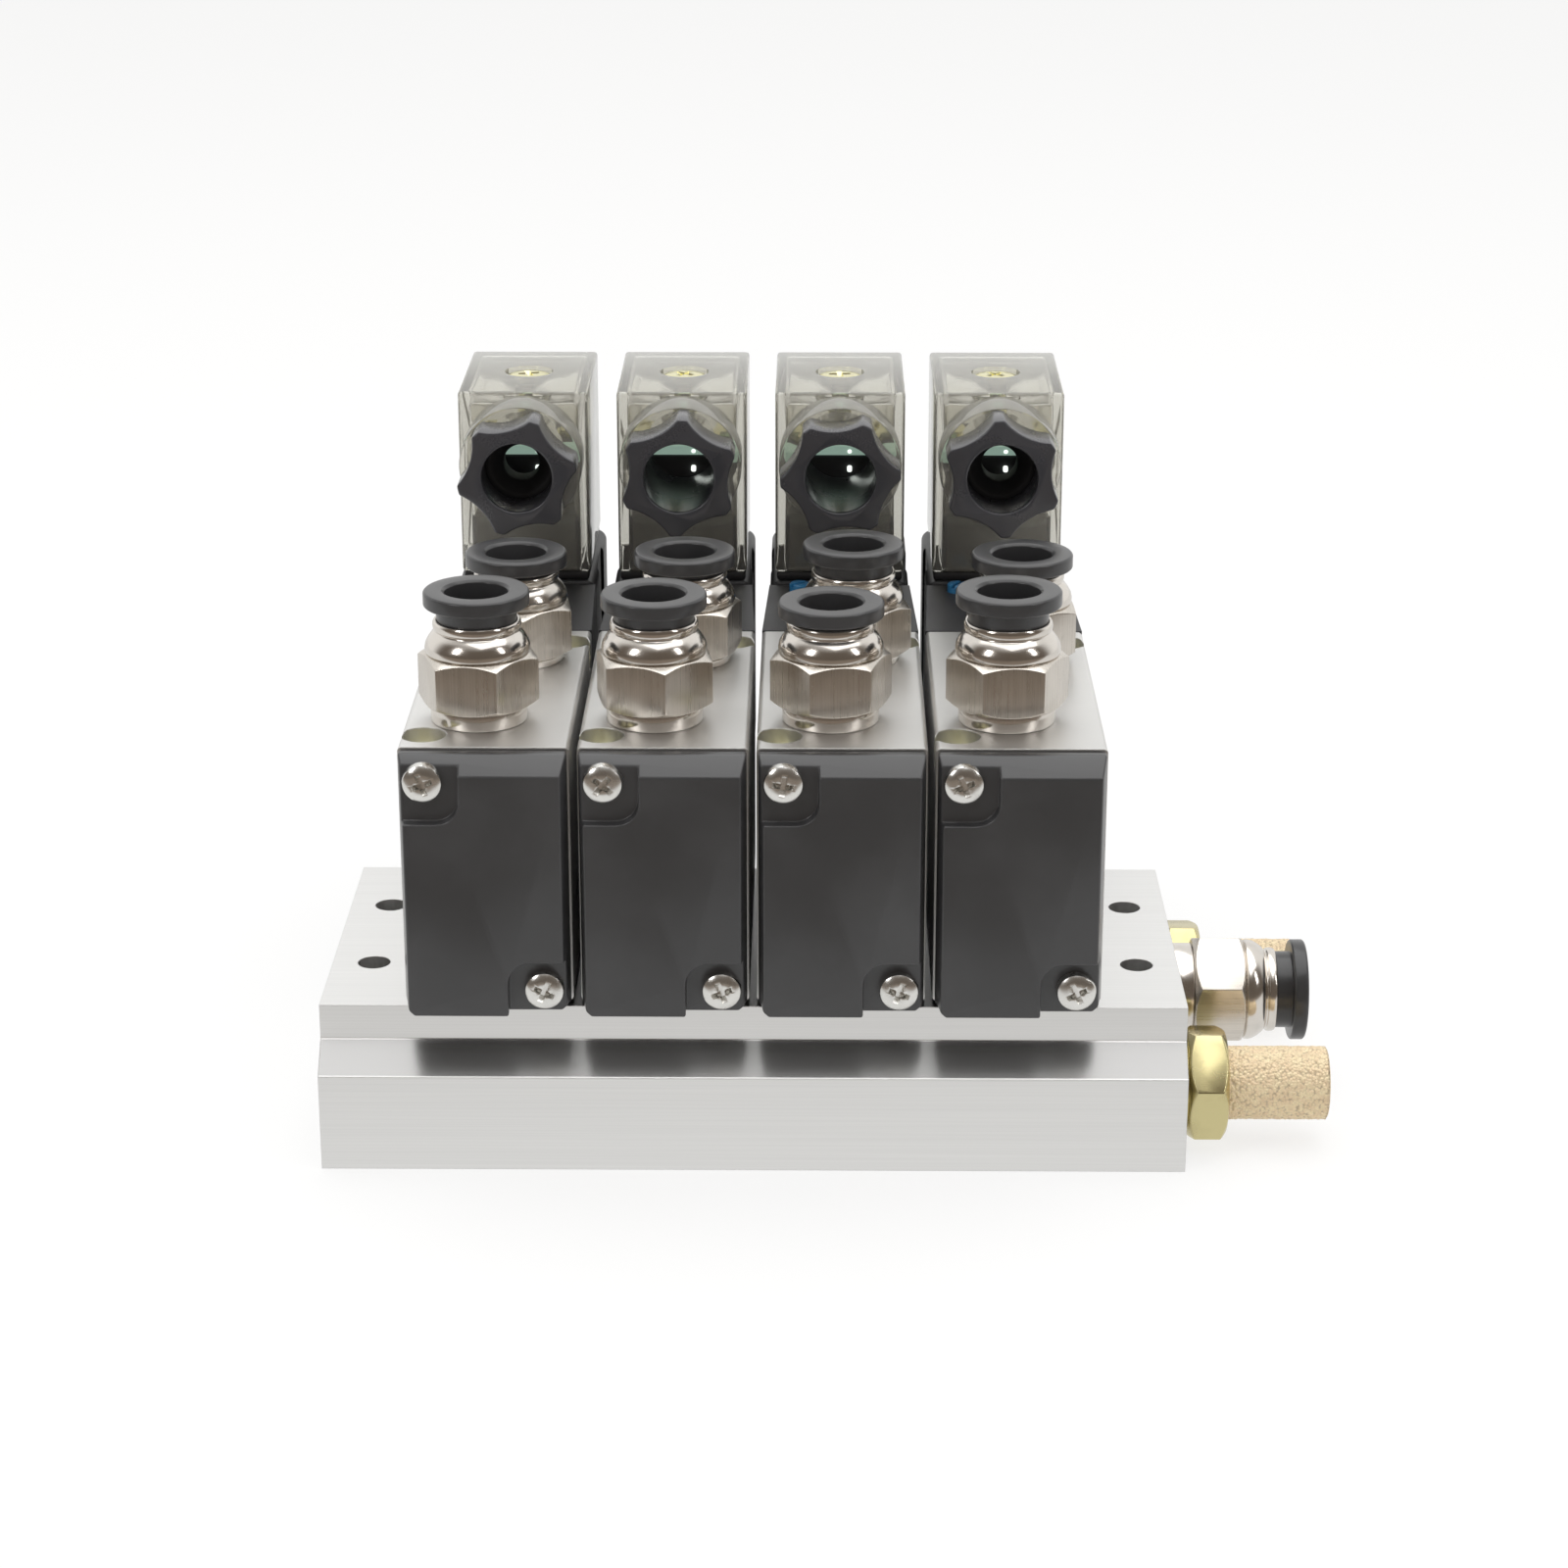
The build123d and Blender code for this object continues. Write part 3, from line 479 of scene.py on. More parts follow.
@dataclass(frozen=True)
class Clear(Finish):
    """Clear moulded plastic with a little milk in it."""

    clarity: float = 0.8
    index: float = 1.52
    smoked: float = 0.97

    def constants(self) -> dict[str, Any]:
        """How clear it is and how it bends light."""
        return {"Transmission Weight": self.clarity, "IOR": self.index, "Specular IOR Level": 0.5}

    def vary(self, tree: Tree) -> dict[str, Signal]:
        """A trace of smoke and moulding waves.

        Args:
            tree: the material's nodes.

        Returns:
            What changes over the surface, by socket.
        """
        smoke = tree.noise(90.0, 3.0).step(0.3, 0.8)
        return {
            "Base Color": tree.blend(smoke, self.colour, shaded(self.colour, self.smoked)),
            "Roughness": self.roughness + smoke * 0.03,
            "Normal": tree.relief(tree.noise(160.0, 2.0), 0.00001),
        }


@dataclass(frozen=True)
class Sintered(Finish):
    """Bronze grains fused together."""

    grains: float = 2500.0
    warm: float = 1.15
    # pore_painted_shade is the share of the colour kept between the grains: painted shade in the pores.
    pore_painted_shade: float = 0.68
    depth: float = 0.00025

    def vary(self, tree: Tree) -> dict[str, Signal]:
        """Round grains, each its own tone, darkened between them as painted shade in the pores.

        Args:
            tree: the material's nodes.

        Returns:
            What changes over the surface, by socket.
        """
        cell = tree.node(
            "ShaderNodeTexVoronoi", {"feature": "F1"}, Vector=tree.place(), Scale=self.grains,
            out="Distance",
        )
        tone = tree.noise(900.0, 3.0).step(0.35, 0.7)
        warm = tree.blend(tone, self.colour, shaded(self.colour, self.warm))
        return {
            # Painted shade: the colour darkens towards the cell edges, where the pores between the grains
            # are.
            "Base Color": tree.blend(cell.step(0.5, 0.95), warm, shaded(self.colour, self.pore_painted_shade)),
            "Roughness": self.roughness + cell * 0.1,
            "Normal": tree.relief(1.0 - cell, self.depth),
        }


@dataclass(frozen=True)
class Glow(Finish):
    """A surface that shines a little by itself."""

    strength: float = 1.0

    def constants(self) -> dict[str, Any]:
        """How brightly it shines."""
        return {"Emission Strength": self.strength, "Emission Color": (*self.colour, 1.0)}


# The bar's finish carries a band of painted shade on the slanted face.
BAR = BrushedBar("bar_aluminium", (0.88, 0.875, 0.865), roughness=0.34, metallic=1.0, edge=0.0002)
BODY = SatinMetal("body_aluminium", (0.79, 0.785, 0.77), roughness=0.42, metallic=1.0, edge=0.0003)
CAP = Moulded("black_cap", (0.040, 0.040, 0.042), roughness=0.34, coat=0.3)
COIL = Moulded("black_coil", (0.028, 0.028, 0.030), roughness=0.42, edge=0.0003, depth=0.000008)
NICKEL = Plated("nickel", (0.78, 0.735, 0.68), roughness=0.14, metallic=1.0)
NICKEL_HEX = Drawn("nickel_hexagon", (0.76, 0.71, 0.645), roughness=0.27, metallic=1.0)
NICKEL_HEX_X = Drawn(
    "nickel_hexagon_inlet", (0.76, 0.71, 0.645), roughness=0.27, metallic=1.0,
    stretch=(70.0, 5200.0, 5200.0),
)
RING = Moulded("ring_plastic", (0.040, 0.040, 0.042), roughness=0.3, depth=0.000003, coat=0.15)
CLEAR = Clear("clear_plastic", (0.90, 0.885, 0.81), roughness=0.03)
BLUE = Moulded("override_blue", (0.03, 0.19, 0.40), roughness=0.3, coat=0.3)
STEEL = Plated("spool_steel", (0.62, 0.62, 0.62), roughness=0.22, metallic=1.0, edge=0.0001)
ZINC = Plated("screw_zinc", (0.83, 0.82, 0.79), roughness=0.2, metallic=1.0)
YELLOW = Plated("screw_yellow", (0.86, 0.82, 0.52), roughness=0.22, metallic=1.0)
BRASS = Plated("silencer_brass", (0.68, 0.60, 0.32), roughness=0.2, metallic=1.0)
BRONZE = Sintered("sintered_bronze", (0.93, 0.74, 0.50), roughness=0.5, metallic=0.35)
RUBBER = Moulded("gasket_rubber", (0.016, 0.016, 0.017), roughness=0.6, edge=0.0001)
GLAND = Moulded("gland_plastic", (0.045, 0.045, 0.052), roughness=0.26, depth=0.000003, coat=0.35)
# Painted light: the board glows though it is no lamp, standing for the indicator's light on it.
BOARD_PAINTED_GLOW = Glow("circuit_board", (0.42, 0.60, 0.50), strength=0.45)
# Glows for the indicator lamp, and as painted highlight on the dot at the board's edge.
LAMP_AND_HIGHLIGHT = Glow("indicator", (0.93, 1.0, 0.93), roughness=0.3, strength=1.4)


# ---------------------------------------------------------------------------------------------
# Mesh tools
# ---------------------------------------------------------------------------------------------
class Shape:
    """A mesh in millimetres that operators shape before it becomes an object."""

    def __init__(self) -> None:
        """Starts empty."""
        self.bm = bmesh.new()

    @classmethod
    def turned(cls, profile: Sequence[Point], steps: int = 96) -> "Shape":
        """Spins a closed profile about Z.

        Args:
            profile: (radius, height) points of the closed half section, in order.
            steps: how many steps the full turn has.

        Returns:
            The closed ring or solid.
        """
        shape = cls()
        verts = [shape.bm.verts.new((r, 0.0, h)) for r, h in profile]
        edges = [shape.bm.edges.new(pair) for pair in zip(verts, verts[1:] + verts[:1])]
        bmesh.ops.spin(
            shape.bm, geom=verts + edges, cent=(0, 0, 0), axis=(0, 0, 1), angle=math.tau,
            steps=steps, use_merge=True, use_duplicate=False,
        )
        return shape.tidy()

    @classmethod
    def prism(
        cls, sides: int, radius: float, height: float, base: float = 0.0, turn: float = 0.0
    ) -> "Shape":
        """An upright prism.

        Args:
            sides: how many sides; many make a cylinder.
            radius: to its corners.
            height: of the prism.
            base: height of its foot.
            turn: degrees about Z.

        Returns:
            The closed prism.
        """
        shape = cls()
        spin = Matrix.Rotation(math.radians(turn), 4, "Z")
        place = Matrix.Translation((0, 0, base + height / 2)) @ spin
        bmesh.ops.create_cone(
            shape.bm, cap_ends=True, segments=sides, radius1=radius, radius2=radius, depth=height,
            matrix=place,
        )
        return shape

    @classmethod
    def block(cls, low: Place, high: Place, corner: float = 0.0, segments: int = 4) -> "Shape":
        """A box between two corners.

        Args:
            low: lowest corner.
            high: highest corner.
            corner: radius of all its edges.
            segments: how finely the edges are rounded.

        Returns:
            The closed box.
        """
        shape = cls()
        size = [upper - lower for lower, upper in zip(low, high)]
        middle = [(upper + lower) / 2 for lower, upper in zip(low, high)]
        place = Matrix.Translation(middle) @ Matrix.Diagonal((*size, 1.0))
        bmesh.ops.create_cube(shape.bm, size=1.0, matrix=place)
        if corner:
            shape.soften(corner, segments)
        return shape

    def tidy(self) -> "Shape":
        """Merges doubles and turns the faces outwards.

        Returns:
            This shape.
        """
        bmesh.ops.remove_doubles(self.bm, verts=self.bm.verts[:], dist=SAME_POINT)
        bmesh.ops.recalc_face_normals(self.bm, faces=self.bm.faces[:])
        return self

    def soften(
        self, radius: float, segments: int = 3, angle: float = 25.0,
        where: Callable[[bmesh.types.BMEdge], bool] | None = None,
    ) -> "Shape":
        """Rounds the edges that are sharper than an angle.

        Args:
            radius: of the rounding.
            segments: how finely.
            angle: least angle between the faces, in degrees.
            where: keeps only the edges that it is true of.

        Returns:
            This shape.
        """
        sharp = [
            edge for edge in self.bm.edges
            if len(edge.link_faces) == 2 and edge.calc_face_angle(0.0) > math.radians(angle)
            and (where is None or where(edge))
        ]
        bmesh.ops.bevel(
            self.bm, geom=sharp, offset=radius, offset_type="OFFSET", segments=segments, profile=0.5,
            affect="EDGES", clamp_overlap=True, material=-1,
        )
        return self

    def moved(self, place: Place = (0, 0, 0), axis: Axis = Axis.UP, turn: float = 0.0) -> "Shape":
        """Turns the shape about Z, points it along an axis and carries it to a place.

        Args:
            place: where its origin goes.
            axis: where its +Z points then.
            turn: degrees about its own Z.

        Returns:
            This shape.
        """
        spin = Matrix.Rotation(math.radians(turn), 4, "Z")
        matrix = Matrix.Translation(place) @ axis.turn() @ spin
        bmesh.ops.transform(self.bm, matrix=matrix, verts=self.bm.verts[:])
        return self

    def copy(self) -> "Shape":
        """Copies the mesh.

        Returns:
            A second shape like this one.
        """
        other = Shape()
        other.bm.free()
        other.bm = self.bm.copy()
        return other

    def add(self, *others: "Shape") -> "Shape":
        """Takes other shapes in as loose parts.

        Args:
            *others: the shapes, left as they are.

        Returns:
            This shape.
        """
        for other in others:
            mesh = bpy.data.meshes.new("part")
            other.bm.to_mesh(mesh)
            self.bm.from_mesh(mesh)
            bpy.data.meshes.remove(mesh)
        return self

    def _boolean(self, other: "Shape", operation: str) -> "Shape":
        """Runs an exact boolean with another shape.

        Args:
            other: the second shape, left as it is.
            operation: the boolean modifier's operation.

        Returns:
            This shape.
        """
        pair = []
        for shape in (self, other):
            mesh = bpy.data.meshes.new("part")
            shape.bm.to_mesh(mesh)
            item = bpy.data.objects.new("part", mesh)
            bpy.context.scene.collection.objects.link(item)
            pair.append(item)
        first, second = pair
        cut = first.modifiers.new("cut", "BOOLEAN")
        cut.object = second
        cut.operation = operation
        cut.solver = "EXACT"
        solved = first.evaluated_get(bpy.context.evaluated_depsgraph_get())
        done = bpy.data.meshes.new_from_object(solved)
        self.bm.free()
        self.bm = bmesh.new()
        self.bm.from_mesh(done)
        for item in pair:
            data = item.data
            bpy.data.objects.remove(item)
            bpy.data.meshes.remove(data)
        bpy.data.meshes.remove(done)
        bmesh.ops.remove_doubles(self.bm, verts=self.bm.verts[:], dist=SLIVER)
        return self

    def cut(self, *others: "Shape") -> "Shape":
        """Takes other shapes away, one after another.

        Args:
            *others: the shapes, left as they are.

        Returns:
            This shape.
        """
        for other in others:
            self._boolean(other, "DIFFERENCE")
        return self

    def join(self, *others: "Shape") -> "Shape":
        """Makes one skin with other shapes.

        Args:
            *others: the shapes, left as they are.

        Returns:
            This shape.
        """
        for other in others:
            self._boolean(other, "UNION")
        return self

    def meet(self, other: "Shape") -> "Shape":
        """Keeps what both shapes hold."""
        return self._boolean(other, "INTERSECT")

    def piece(
        self, name: str, finish: Finish, body: str = "island", slot: str | None = None,
        stands_for: Iterable[str] = (), smooth: float = 32.0,
    ) -> bpy.types.Object:
        """Makes the shape an object of the part.

        Args:
            name: the piece's name.
            finish: what it is dressed in.
            body: the rigid body that it rides on.
            slot: not used.
            stands_for: the frame's nodes that it replaces.
            smooth: angle in degrees up to which faces shade smoothly.

        Returns:
            The object, at the origin.
        """
        bmesh.ops.scale(self.bm, vec=(MM, MM, MM), verts=self.bm.verts[:])
        for face in self.bm.faces:
            face.smooth = True
        for edge in self.bm.edges:
            if len(edge.link_faces) == 2 and edge.calc_face_angle(0.0) > math.radians(smooth):
                edge.smooth = False
        mesh = bpy.data.meshes.new(name)
        self.bm.to_mesh(mesh)
        self.bm.free()
        mesh.materials.append(finish.make())
        item = bpy.data.objects.new(name, mesh)
        bpy.context.scene.collection.objects.link(item)
        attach(item, body)
        if stands_for:
            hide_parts(*stands_for)
        LOG.info("%s: %d faces", name, len(mesh.polygons))
        return item


def hexagon(
    flats: float, height: float, base: float, bore: float, chamfer: float, rim: float = 0.25,
    edge: float = 0.12,
) -> Shape:
    """A hexagon bar with turned corners and a hole.

    Args:
        flats: width across the flats.
        height: of the bar.
        base: height of its foot.
        bore: radius of the hole.
        chamfer: how far the corners are turned down, at both ends.
        rim: how far the turned ends stay inside the flats.
        edge: radius of the edges.

    Returns:
        The closed shape, upright.
    """
    corner = flats / math.sqrt(3.0)
    bar = Shape.prism(6, corner, height, base)
    top, face = base + height, flats / 2 - rim
    cone = Shape.turned(
        [(AXIS_R, base), (face, base), (corner, base + chamfer), (corner, top - chamfer), (face, top),
         (AXIS_R, top)]
    )
    bar.meet(cone)
    bar.cut(Shape.prism(72, bore, height + 2 * PAST, base - PAST))
    return bar.soften(edge, 2, 20.0)


# ---------------------------------------------------------------------------------------------
# Fittings
# ---------------------------------------------------------------------------------------------
@dataclass(frozen=True)
class PushIn:
    """A push-in fitting with its release ring, from the face that it screws into."""

    name: str
    ring: str
    place: Place
    seat: float
    gap: float
    axis: Axis = Axis.UP
    turn: float = 0.0
    flats: float = 14.0
    hex_height: float = 7.0
    hex_chamfer: float = 0.8
    shoulder: float = 3.0
    collar: float = 1.4
    seat_r: float = 6.35
    thread_r: float = 4.8
    thread: float = 8.0
    bore_r: float = 2.8
    tube_r: float = 4.1
    tube_stop: float = -2.0
    head_bore_r: float = 5.3
    ring_sleeve_r: float = 5.25
    ring_reach: float = 4.6
    ring_r: float = 6.9
    ring_height: float = 2.0

    def build(self) -> None:
        """Makes the plated body, its hexagon and the black ring."""
        top = self.seat + self.hex_height
        rim = top + self.shoulder + self.collar
        self._place(self._body(top)).piece(
            self.name + "_plated", NICKEL, slot="nickel", stands_for=[self.name]
        )
        finish = NICKEL_HEX if self.axis is Axis.UP else NICKEL_HEX_X
        bar = hexagon(self.flats, self.hex_height, self.seat, self.head_bore_r, self.hex_chamfer)
        self._place(bar).piece(self.name + "_hexagon", finish, slot="nickel")
        self._place(self._ring(rim + self.gap)).piece(
            self.ring + "_moulded", RING, body=self.ring, slot="ring_plastic", stands_for=[self.ring]
        )

    def _place(self, shape: Shape) -> Shape:
        """The shape where the fitting stands."""
        return shape.moved(self.place, self.axis, self.turn)

    def _body(self, top: float) -> Shape:
        """Turns the threaded seat and the domed head with its collar.

        Args:
            top: height of the hexagon's upper face.

        Returns:
            Both, upright.
        """
        seat = Shape.turned(
            [(self.bore_r, -self.thread), (self.thread_r, -self.thread), (self.thread_r, 0.0),
             (self.seat_r, 0.0), (self.seat_r, self.seat), (self.tube_r, self.seat),
             (self.tube_r, self.tube_stop), (self.bore_r, self.tube_stop - 1.0)]
        ).soften(0.2, 2)
        dome, bore = top + self.shoulder, self.head_bore_r
        head = Shape.turned(
            [(bore, top - 0.4), (6.2, top - 0.4), (6.55, top), (6.85, top + 0.25), (6.88, top + 0.75),
             (6.75, top + 1.35), (6.4, top + 2.0), (5.95, top + 2.6), (5.62, dome - 0.15), (5.5, dome),
             (5.5, dome + 0.12), (5.72, dome + 0.3), (5.78, dome + 0.7),
             (5.74, dome + self.collar - 0.3), (5.58, dome + self.collar), (bore, dome + self.collar)]
        ).soften(0.1, 2, 30.0)
        return seat.add(head)

    def _ring(self, foot: float) -> Shape:
        """Turns the release ring.

        Args:
            foot: height of the flange's lower face.

        Returns:
            The ring, upright.
        """
        top = foot + self.ring_height
        return Shape.turned(
            [(self.tube_r, foot - self.ring_reach), (self.ring_sleeve_r, foot - self.ring_reach),
             (self.ring_sleeve_r, foot), (self.ring_r - 0.2, foot), (self.ring_r, foot + 0.2),
             (self.ring_r, top - 0.25), (self.ring_r - 0.25, top), (self.tube_r + 0.35, top),
             (self.tube_r, top - 0.35)]
        ).soften(0.09, 3)


# ---------------------------------------------------------------------------------------------
# Screws
# ---------------------------------------------------------------------------------------------
@dataclass(frozen=True)
class Screw:
    """A cross-recessed screw whose head stands on z = 0."""

    head: float
    rise: float
    shank: float
    length: float
    cross: float = 2.0
    recess: float = 1.1

    def shape(self) -> Shape:
        """Turns the screw and sinks its cross.

        Returns:
            The screw, pointing up, with its shank below.
        """
        r, h = self.head, self.rise
        screw = Shape.turned(
            [(AXIS_R, -self.length), (self.shank, -self.length), (self.shank, 0), (r, 0), (r, h * 0.35),
             (r * 0.94, h * 0.68), (r * 0.74, h * 0.92), (r * 0.45, h), (AXIS_R, h)], 48
        )
        half, sunk = self.cross * 0.23, h - self.recess
        tools = []
        for turn in (0, 90):
            blade = Shape.block((-self.cross, -half, sunk), (self.cross, half, h + PAST))
            tip = [vert for vert in blade.bm.verts if vert.co.z < h]
            bmesh.ops.scale(blade.bm, vec=(0.4, 0.6, 1.0), verts=tip)
            tools.append(blade.moved(turn=turn))
        middle = Shape.prism(4, self.cross * 0.52, 2.0, sunk)
        tip = [vert for vert in middle.bm.verts if vert.co.z < h]
        bmesh.ops.scale(middle.bm, vec=(0.5, 0.5, 1.0), verts=tip)
        screw.cut(*tools, middle)
        return screw.soften(0.06, 2, 40.0, lambda edge: edge.verts[0].co.z > h * 0.8 - 0.05)


@dataclass(frozen=True)
class Screws:
    """All the screws of the island, each kind one piece, with their places on a valve."""

    mounting: Screw = Screw(2.7, 2.0, 1.46, 39.0)
    mounting_at: Place = (8.1, 20.1, 53.1)
    front: Screw = Screw(2.6, 1.7, 1.21, 5.0)
    front_y: float = -28.4
    front_x: float = 7.5
    rear: Screw = Screw(2.6, 1.7, 1.21, 5.6)
    rear_y: float = 29.0
    rear_upper_x: float = 6.3
    rear_lower_x: float = -7.5
    upper_z: float = 54.1
    lower_z: float = 25.6
    lid: Screw = Screw(3.3, 0.9, 1.4, 27.0, 2.2)
    lid_at: Point = (63.15, 84.6)

    def build(self, stations: Sequence[float]) -> None:
        """Places each kind of screw at every station, each cross turned another way.

        Args:
            stations: x of each valve.
        """
        across, along, seat = self.mounting_at
        proto, group = self.mounting.shape(), Shape()
        for n, x in enumerate(stations):
            for side in (-1, 1):
                spot = (x + side * across, side * along, seat)
                group.add(proto.copy().moved(spot, turn=25.0 * n + 40 * side))
        group.piece(
            "mounting_screw_set", YELLOW, slot="screw_yellow", stands_for=["mounting_screws"]
        )
        front, rear, group = self.front.shape(), self.rear.shape(), Shape()
        for n, x in enumerate(stations):
            for proto, axis, spot, turn in (
                (front, Axis.FRONT, (x - self.front_x, self.front_y, self.upper_z), 20.0 + 31 * n),
                (front, Axis.FRONT, (x + self.front_x, self.front_y, self.lower_z), 65.0 + 47 * n),
                (rear, Axis.BACK, (x + self.rear_upper_x, self.rear_y, self.upper_z), 10.0 * n),
                (rear, Axis.BACK, (x + self.rear_lower_x, self.rear_y, self.lower_z), 33.0 * n),
            ):
                group.add(proto.copy().moved(spot, axis, turn))
        group.piece("cap_screw_set", ZINC, slot="screw_zinc", stands_for=["cap_screws"])
        proto, group = self.lid.shape(), Shape()
        for n, x in enumerate(stations):
            group.add(proto.copy().moved((x, *self.lid_at), turn=15.0 + 40 * n))
        group.piece("lid_screw_set", YELLOW, slot="screw_yellow", stands_for=["connector_screws"])


# ---------------------------------------------------------------------------------------------
# Valve stations
# ---------------------------------------------------------------------------------------------
@dataclass(frozen=True)
class EndCap:
    """The moulded cap on the front of a valve."""

    half: float = 10.75
    low: float = 22.7
    high: float = 57.3
    back: float = -25.4
    skirt: float = -26.8
    face: float = -30.0
    plateau: float = 10.1
    plateau_low: float = 22.15
    plateau_high: float = 55.2
    foot_r: float = 0.7
    foot_rise: float = 1.3
    upper_corner: Point = (-2.94, 48.7)
    lower_corner: Point = (2.84, 29.6)
    pocket: float = 1.6
    pocket_r: float = 3.0
    edge_r: float = 0.4
    outside: Place = (20.0, -34.0, 66.0)
    below: float = 14.0

    def shape(self) -> Shape:
        """Draws the skirt out to a smaller face and sinks the two pockets.

        Returns:
            The cap at x = 0.
        """
        cap = Shape.block((-self.half, self.skirt, self.low), (self.half, self.back, self.high))
        front = [face for face in cap.bm.faces if face.normal.y < -0.9]
        grown = bmesh.ops.extrude_discrete_faces(cap.bm, faces=front)["faces"]
        middle = (self.low + self.high) / 2
        for vert in grown[0].verts:
            vert.co.y = self.face
            vert.co.x = math.copysign(self.plateau, vert.co.x)
            vert.co.z = self.plateau_high if vert.co.z > middle else self.plateau_low
        cap.tidy().soften(self.foot_r, 1, 10.0, self._at_foot)
        wide, front_y, above = self.outside
        floor = self.face + self.pocket
        x, z = self.upper_corner
        upper = self._pocket((-wide, front_y, z), (x, floor, above), self.upper_corner)
        x, z = self.lower_corner
        lower = self._pocket((x, front_y, self.below), (wide, floor, z), self.lower_corner)
        return cap.cut(upper, lower).soften(self.edge_r, 3, 14.0)

    def _at_foot(self, edge: bmesh.types.BMEdge) -> bool:
        """Whether an edge runs from the skirt to the face at the foot."""
        first, second = (vert.co for vert in edge.verts)
        return max(first.z, second.z) < self.low + self.foot_rise and abs(first.y - second.y) > 2.0

    def _pocket(self, low: Place, high: Place, corner: Point) -> Shape:
        """Makes the tool for a pocket that is open to the cap's outside.

        Args:
            low: lowest corner of the tool.
            high: highest corner.
            corner: x and z of the one upright edge that is rounded.

        Returns:
            The tool.
        """

        def inner(edge: bmesh.types.BMEdge) -> bool:
            """Whether an edge is the pocket's inner corner."""
            return all(math.dist((vert.co.x, vert.co.z), corner) < 0.01 for vert in edge.verts)

        return Shape.block(low, high).soften(self.pocket_r, 6, where=inner)


@dataclass(frozen=True)
class Box:
    """A rounded block between two corners."""

    low: Place
    high: Place
    corner: float = 0.5
    segments: int = 3

    def shape(self) -> Shape:
        """The block's mesh."""
        return Shape.block(self.low, self.high, self.corner, self.segments)


@dataclass(frozen=True)
class Plug:
    """The clear plug connector on a coil, with what shows inside it."""

    width: float = 18.8
    front: float = 50.0
    back: float = 76.3
    low: float = 58.8
    high: float = 85.8
    wall: float = 1.5
    lid: float = 1.8
    axis_z: float = 76.5
    boss_r: float = 8.8
    boss_front: float = 43.0
    boss_root: float = 0.8
    neck_r: float = 6.4
    neck_back: float = 0.8
    tube_r: float = 7.6
    tube: float = 6.0
    tube_back: float = 6.5
    pass_r: float = 5.2
    pass_from: float = 60.0
    passage: float = 30.0
    screw_y: float = 63.15
    recess_r: float = 3.6
    recess: float = 1.2
    hole_r: float = 1.7
    gland_front: float = 36.4
    gland_gap: float = 0.2
    gland_r: float = 8.6
    gland_bore_r: float = 5.0
    gland_lip: float = 0.8
    thread_r: float = 6.44
    ridges: int = 6
    scoop_r: float = 9.0
    scoop_at: float = 16.0
    # The sleeve is partly the clamping insert and partly a dark lining that stands for the shade in the
    # passage.
    insert_and_shade_lining_r: float = 5.18
    insert_and_shade_lining: float = 13.4
    seal_y: float = 49.6
    flange: Box = Box((-9.2, 50.2, 57.5), (9.2, 76.1, 58.8), 0.4, 2)
    terminals: Box = Box((-7.85, 51.55, 58.8), (7.85, 74.75, 67.4))
    carrier: Box = Box((-7.2, 57.4, 67.3), (7.2, 72.8, 74.7))
    board: Box = Box((-7.0, 57.0, 74.7), (7.0, 61.2, 76.1), 0.1, 1)
    lamp: Box = Box((1.1, 56.6, 72.2), (1.8, 57.5, 73.1), 0.25)
    # Painted highlight: a glowing dot on the board's edge that stands for the lamp's highlight.
    painted_highlight_dot: Box = Box((1.15, 56.8, 75.0), (1.75, 57.3, 75.55), 0.2, 2)
    clamp: Screw = Screw(1.9, 1.2, 0.9, 1.0, 1.2)
    clamps: tuple[Place, ...] = ((-4.6, 68.6, 74.7), (4.6, 68.6, 74.7))

    def housing(self) -> Shape:
        """Shells the housing and joins its gland boss, neck and inner tube.

        Returns:
            The clear shell at x = 0.
        """
        half, wall = self.width / 2, self.wall
        shell = Shape.block((-half, self.front, self.low), (half, self.back, self.high), 0.55, 4)
        inside_low = (-half + wall, self.front + wall, self.low - 5 * PAST)
        inside_high = (half - wall, self.back - wall, self.high - self.lid)
        shell.cut(Shape.block(inside_low, inside_high, 0.8, 3))
        root = self.front + self.boss_root
        boss = Shape.prism(96, self.boss_r, root - self.boss_front).soften(0.25, 2)
        shell.join(boss.moved((0, root, self.axis_z), Axis.FRONT))
        neck = Shape.prism(72, self.neck_r, self.front - self.gland_front - self.neck_back)
        shell.join(neck.moved((0, self.front, self.axis_z), Axis.FRONT))
        tube = Shape.prism(72, self.tube_r, self.tube)
        shell.join(tube.moved((0, self.front + self.tube_back, self.axis_z), Axis.FRONT))
        bore = Shape.prism(72, self.pass_r, self.passage)
        shell.cut(bore.moved((0, self.pass_from, self.axis_z), Axis.FRONT))
        recess = Shape.prism(72, self.recess_r, 4 * PAST)
        shell.cut(recess.moved((0, self.screw_y, self.high - self.recess)))
        hole = Shape.prism(36, self.hole_r, 6 * PAST)
        return shell.cut(hole.moved((0, self.screw_y, self.high - 4 * PAST)))

    def block(self) -> Shape:
        """The black block under the housing."""
        return self.flange.shape().add(self.terminals.shape(), self.carrier.shape())

    def clamp_screws(self) -> Shape:
        """Sets the two terminal screws on the block.

        Returns:
            Both screws at x = 0.
        """
        pair = Shape()
        for spot in self.clamps:
            pair.add(self.clamp.shape().moved(spot, turn=30 * spot[0]))
        return pair

    def lights(self) -> Shape:
        """The lamp and a glowing dot on the board's edge that paints the lamp's highlight."""
        return self.lamp.shape().add(self.painted_highlight_dot.shape())

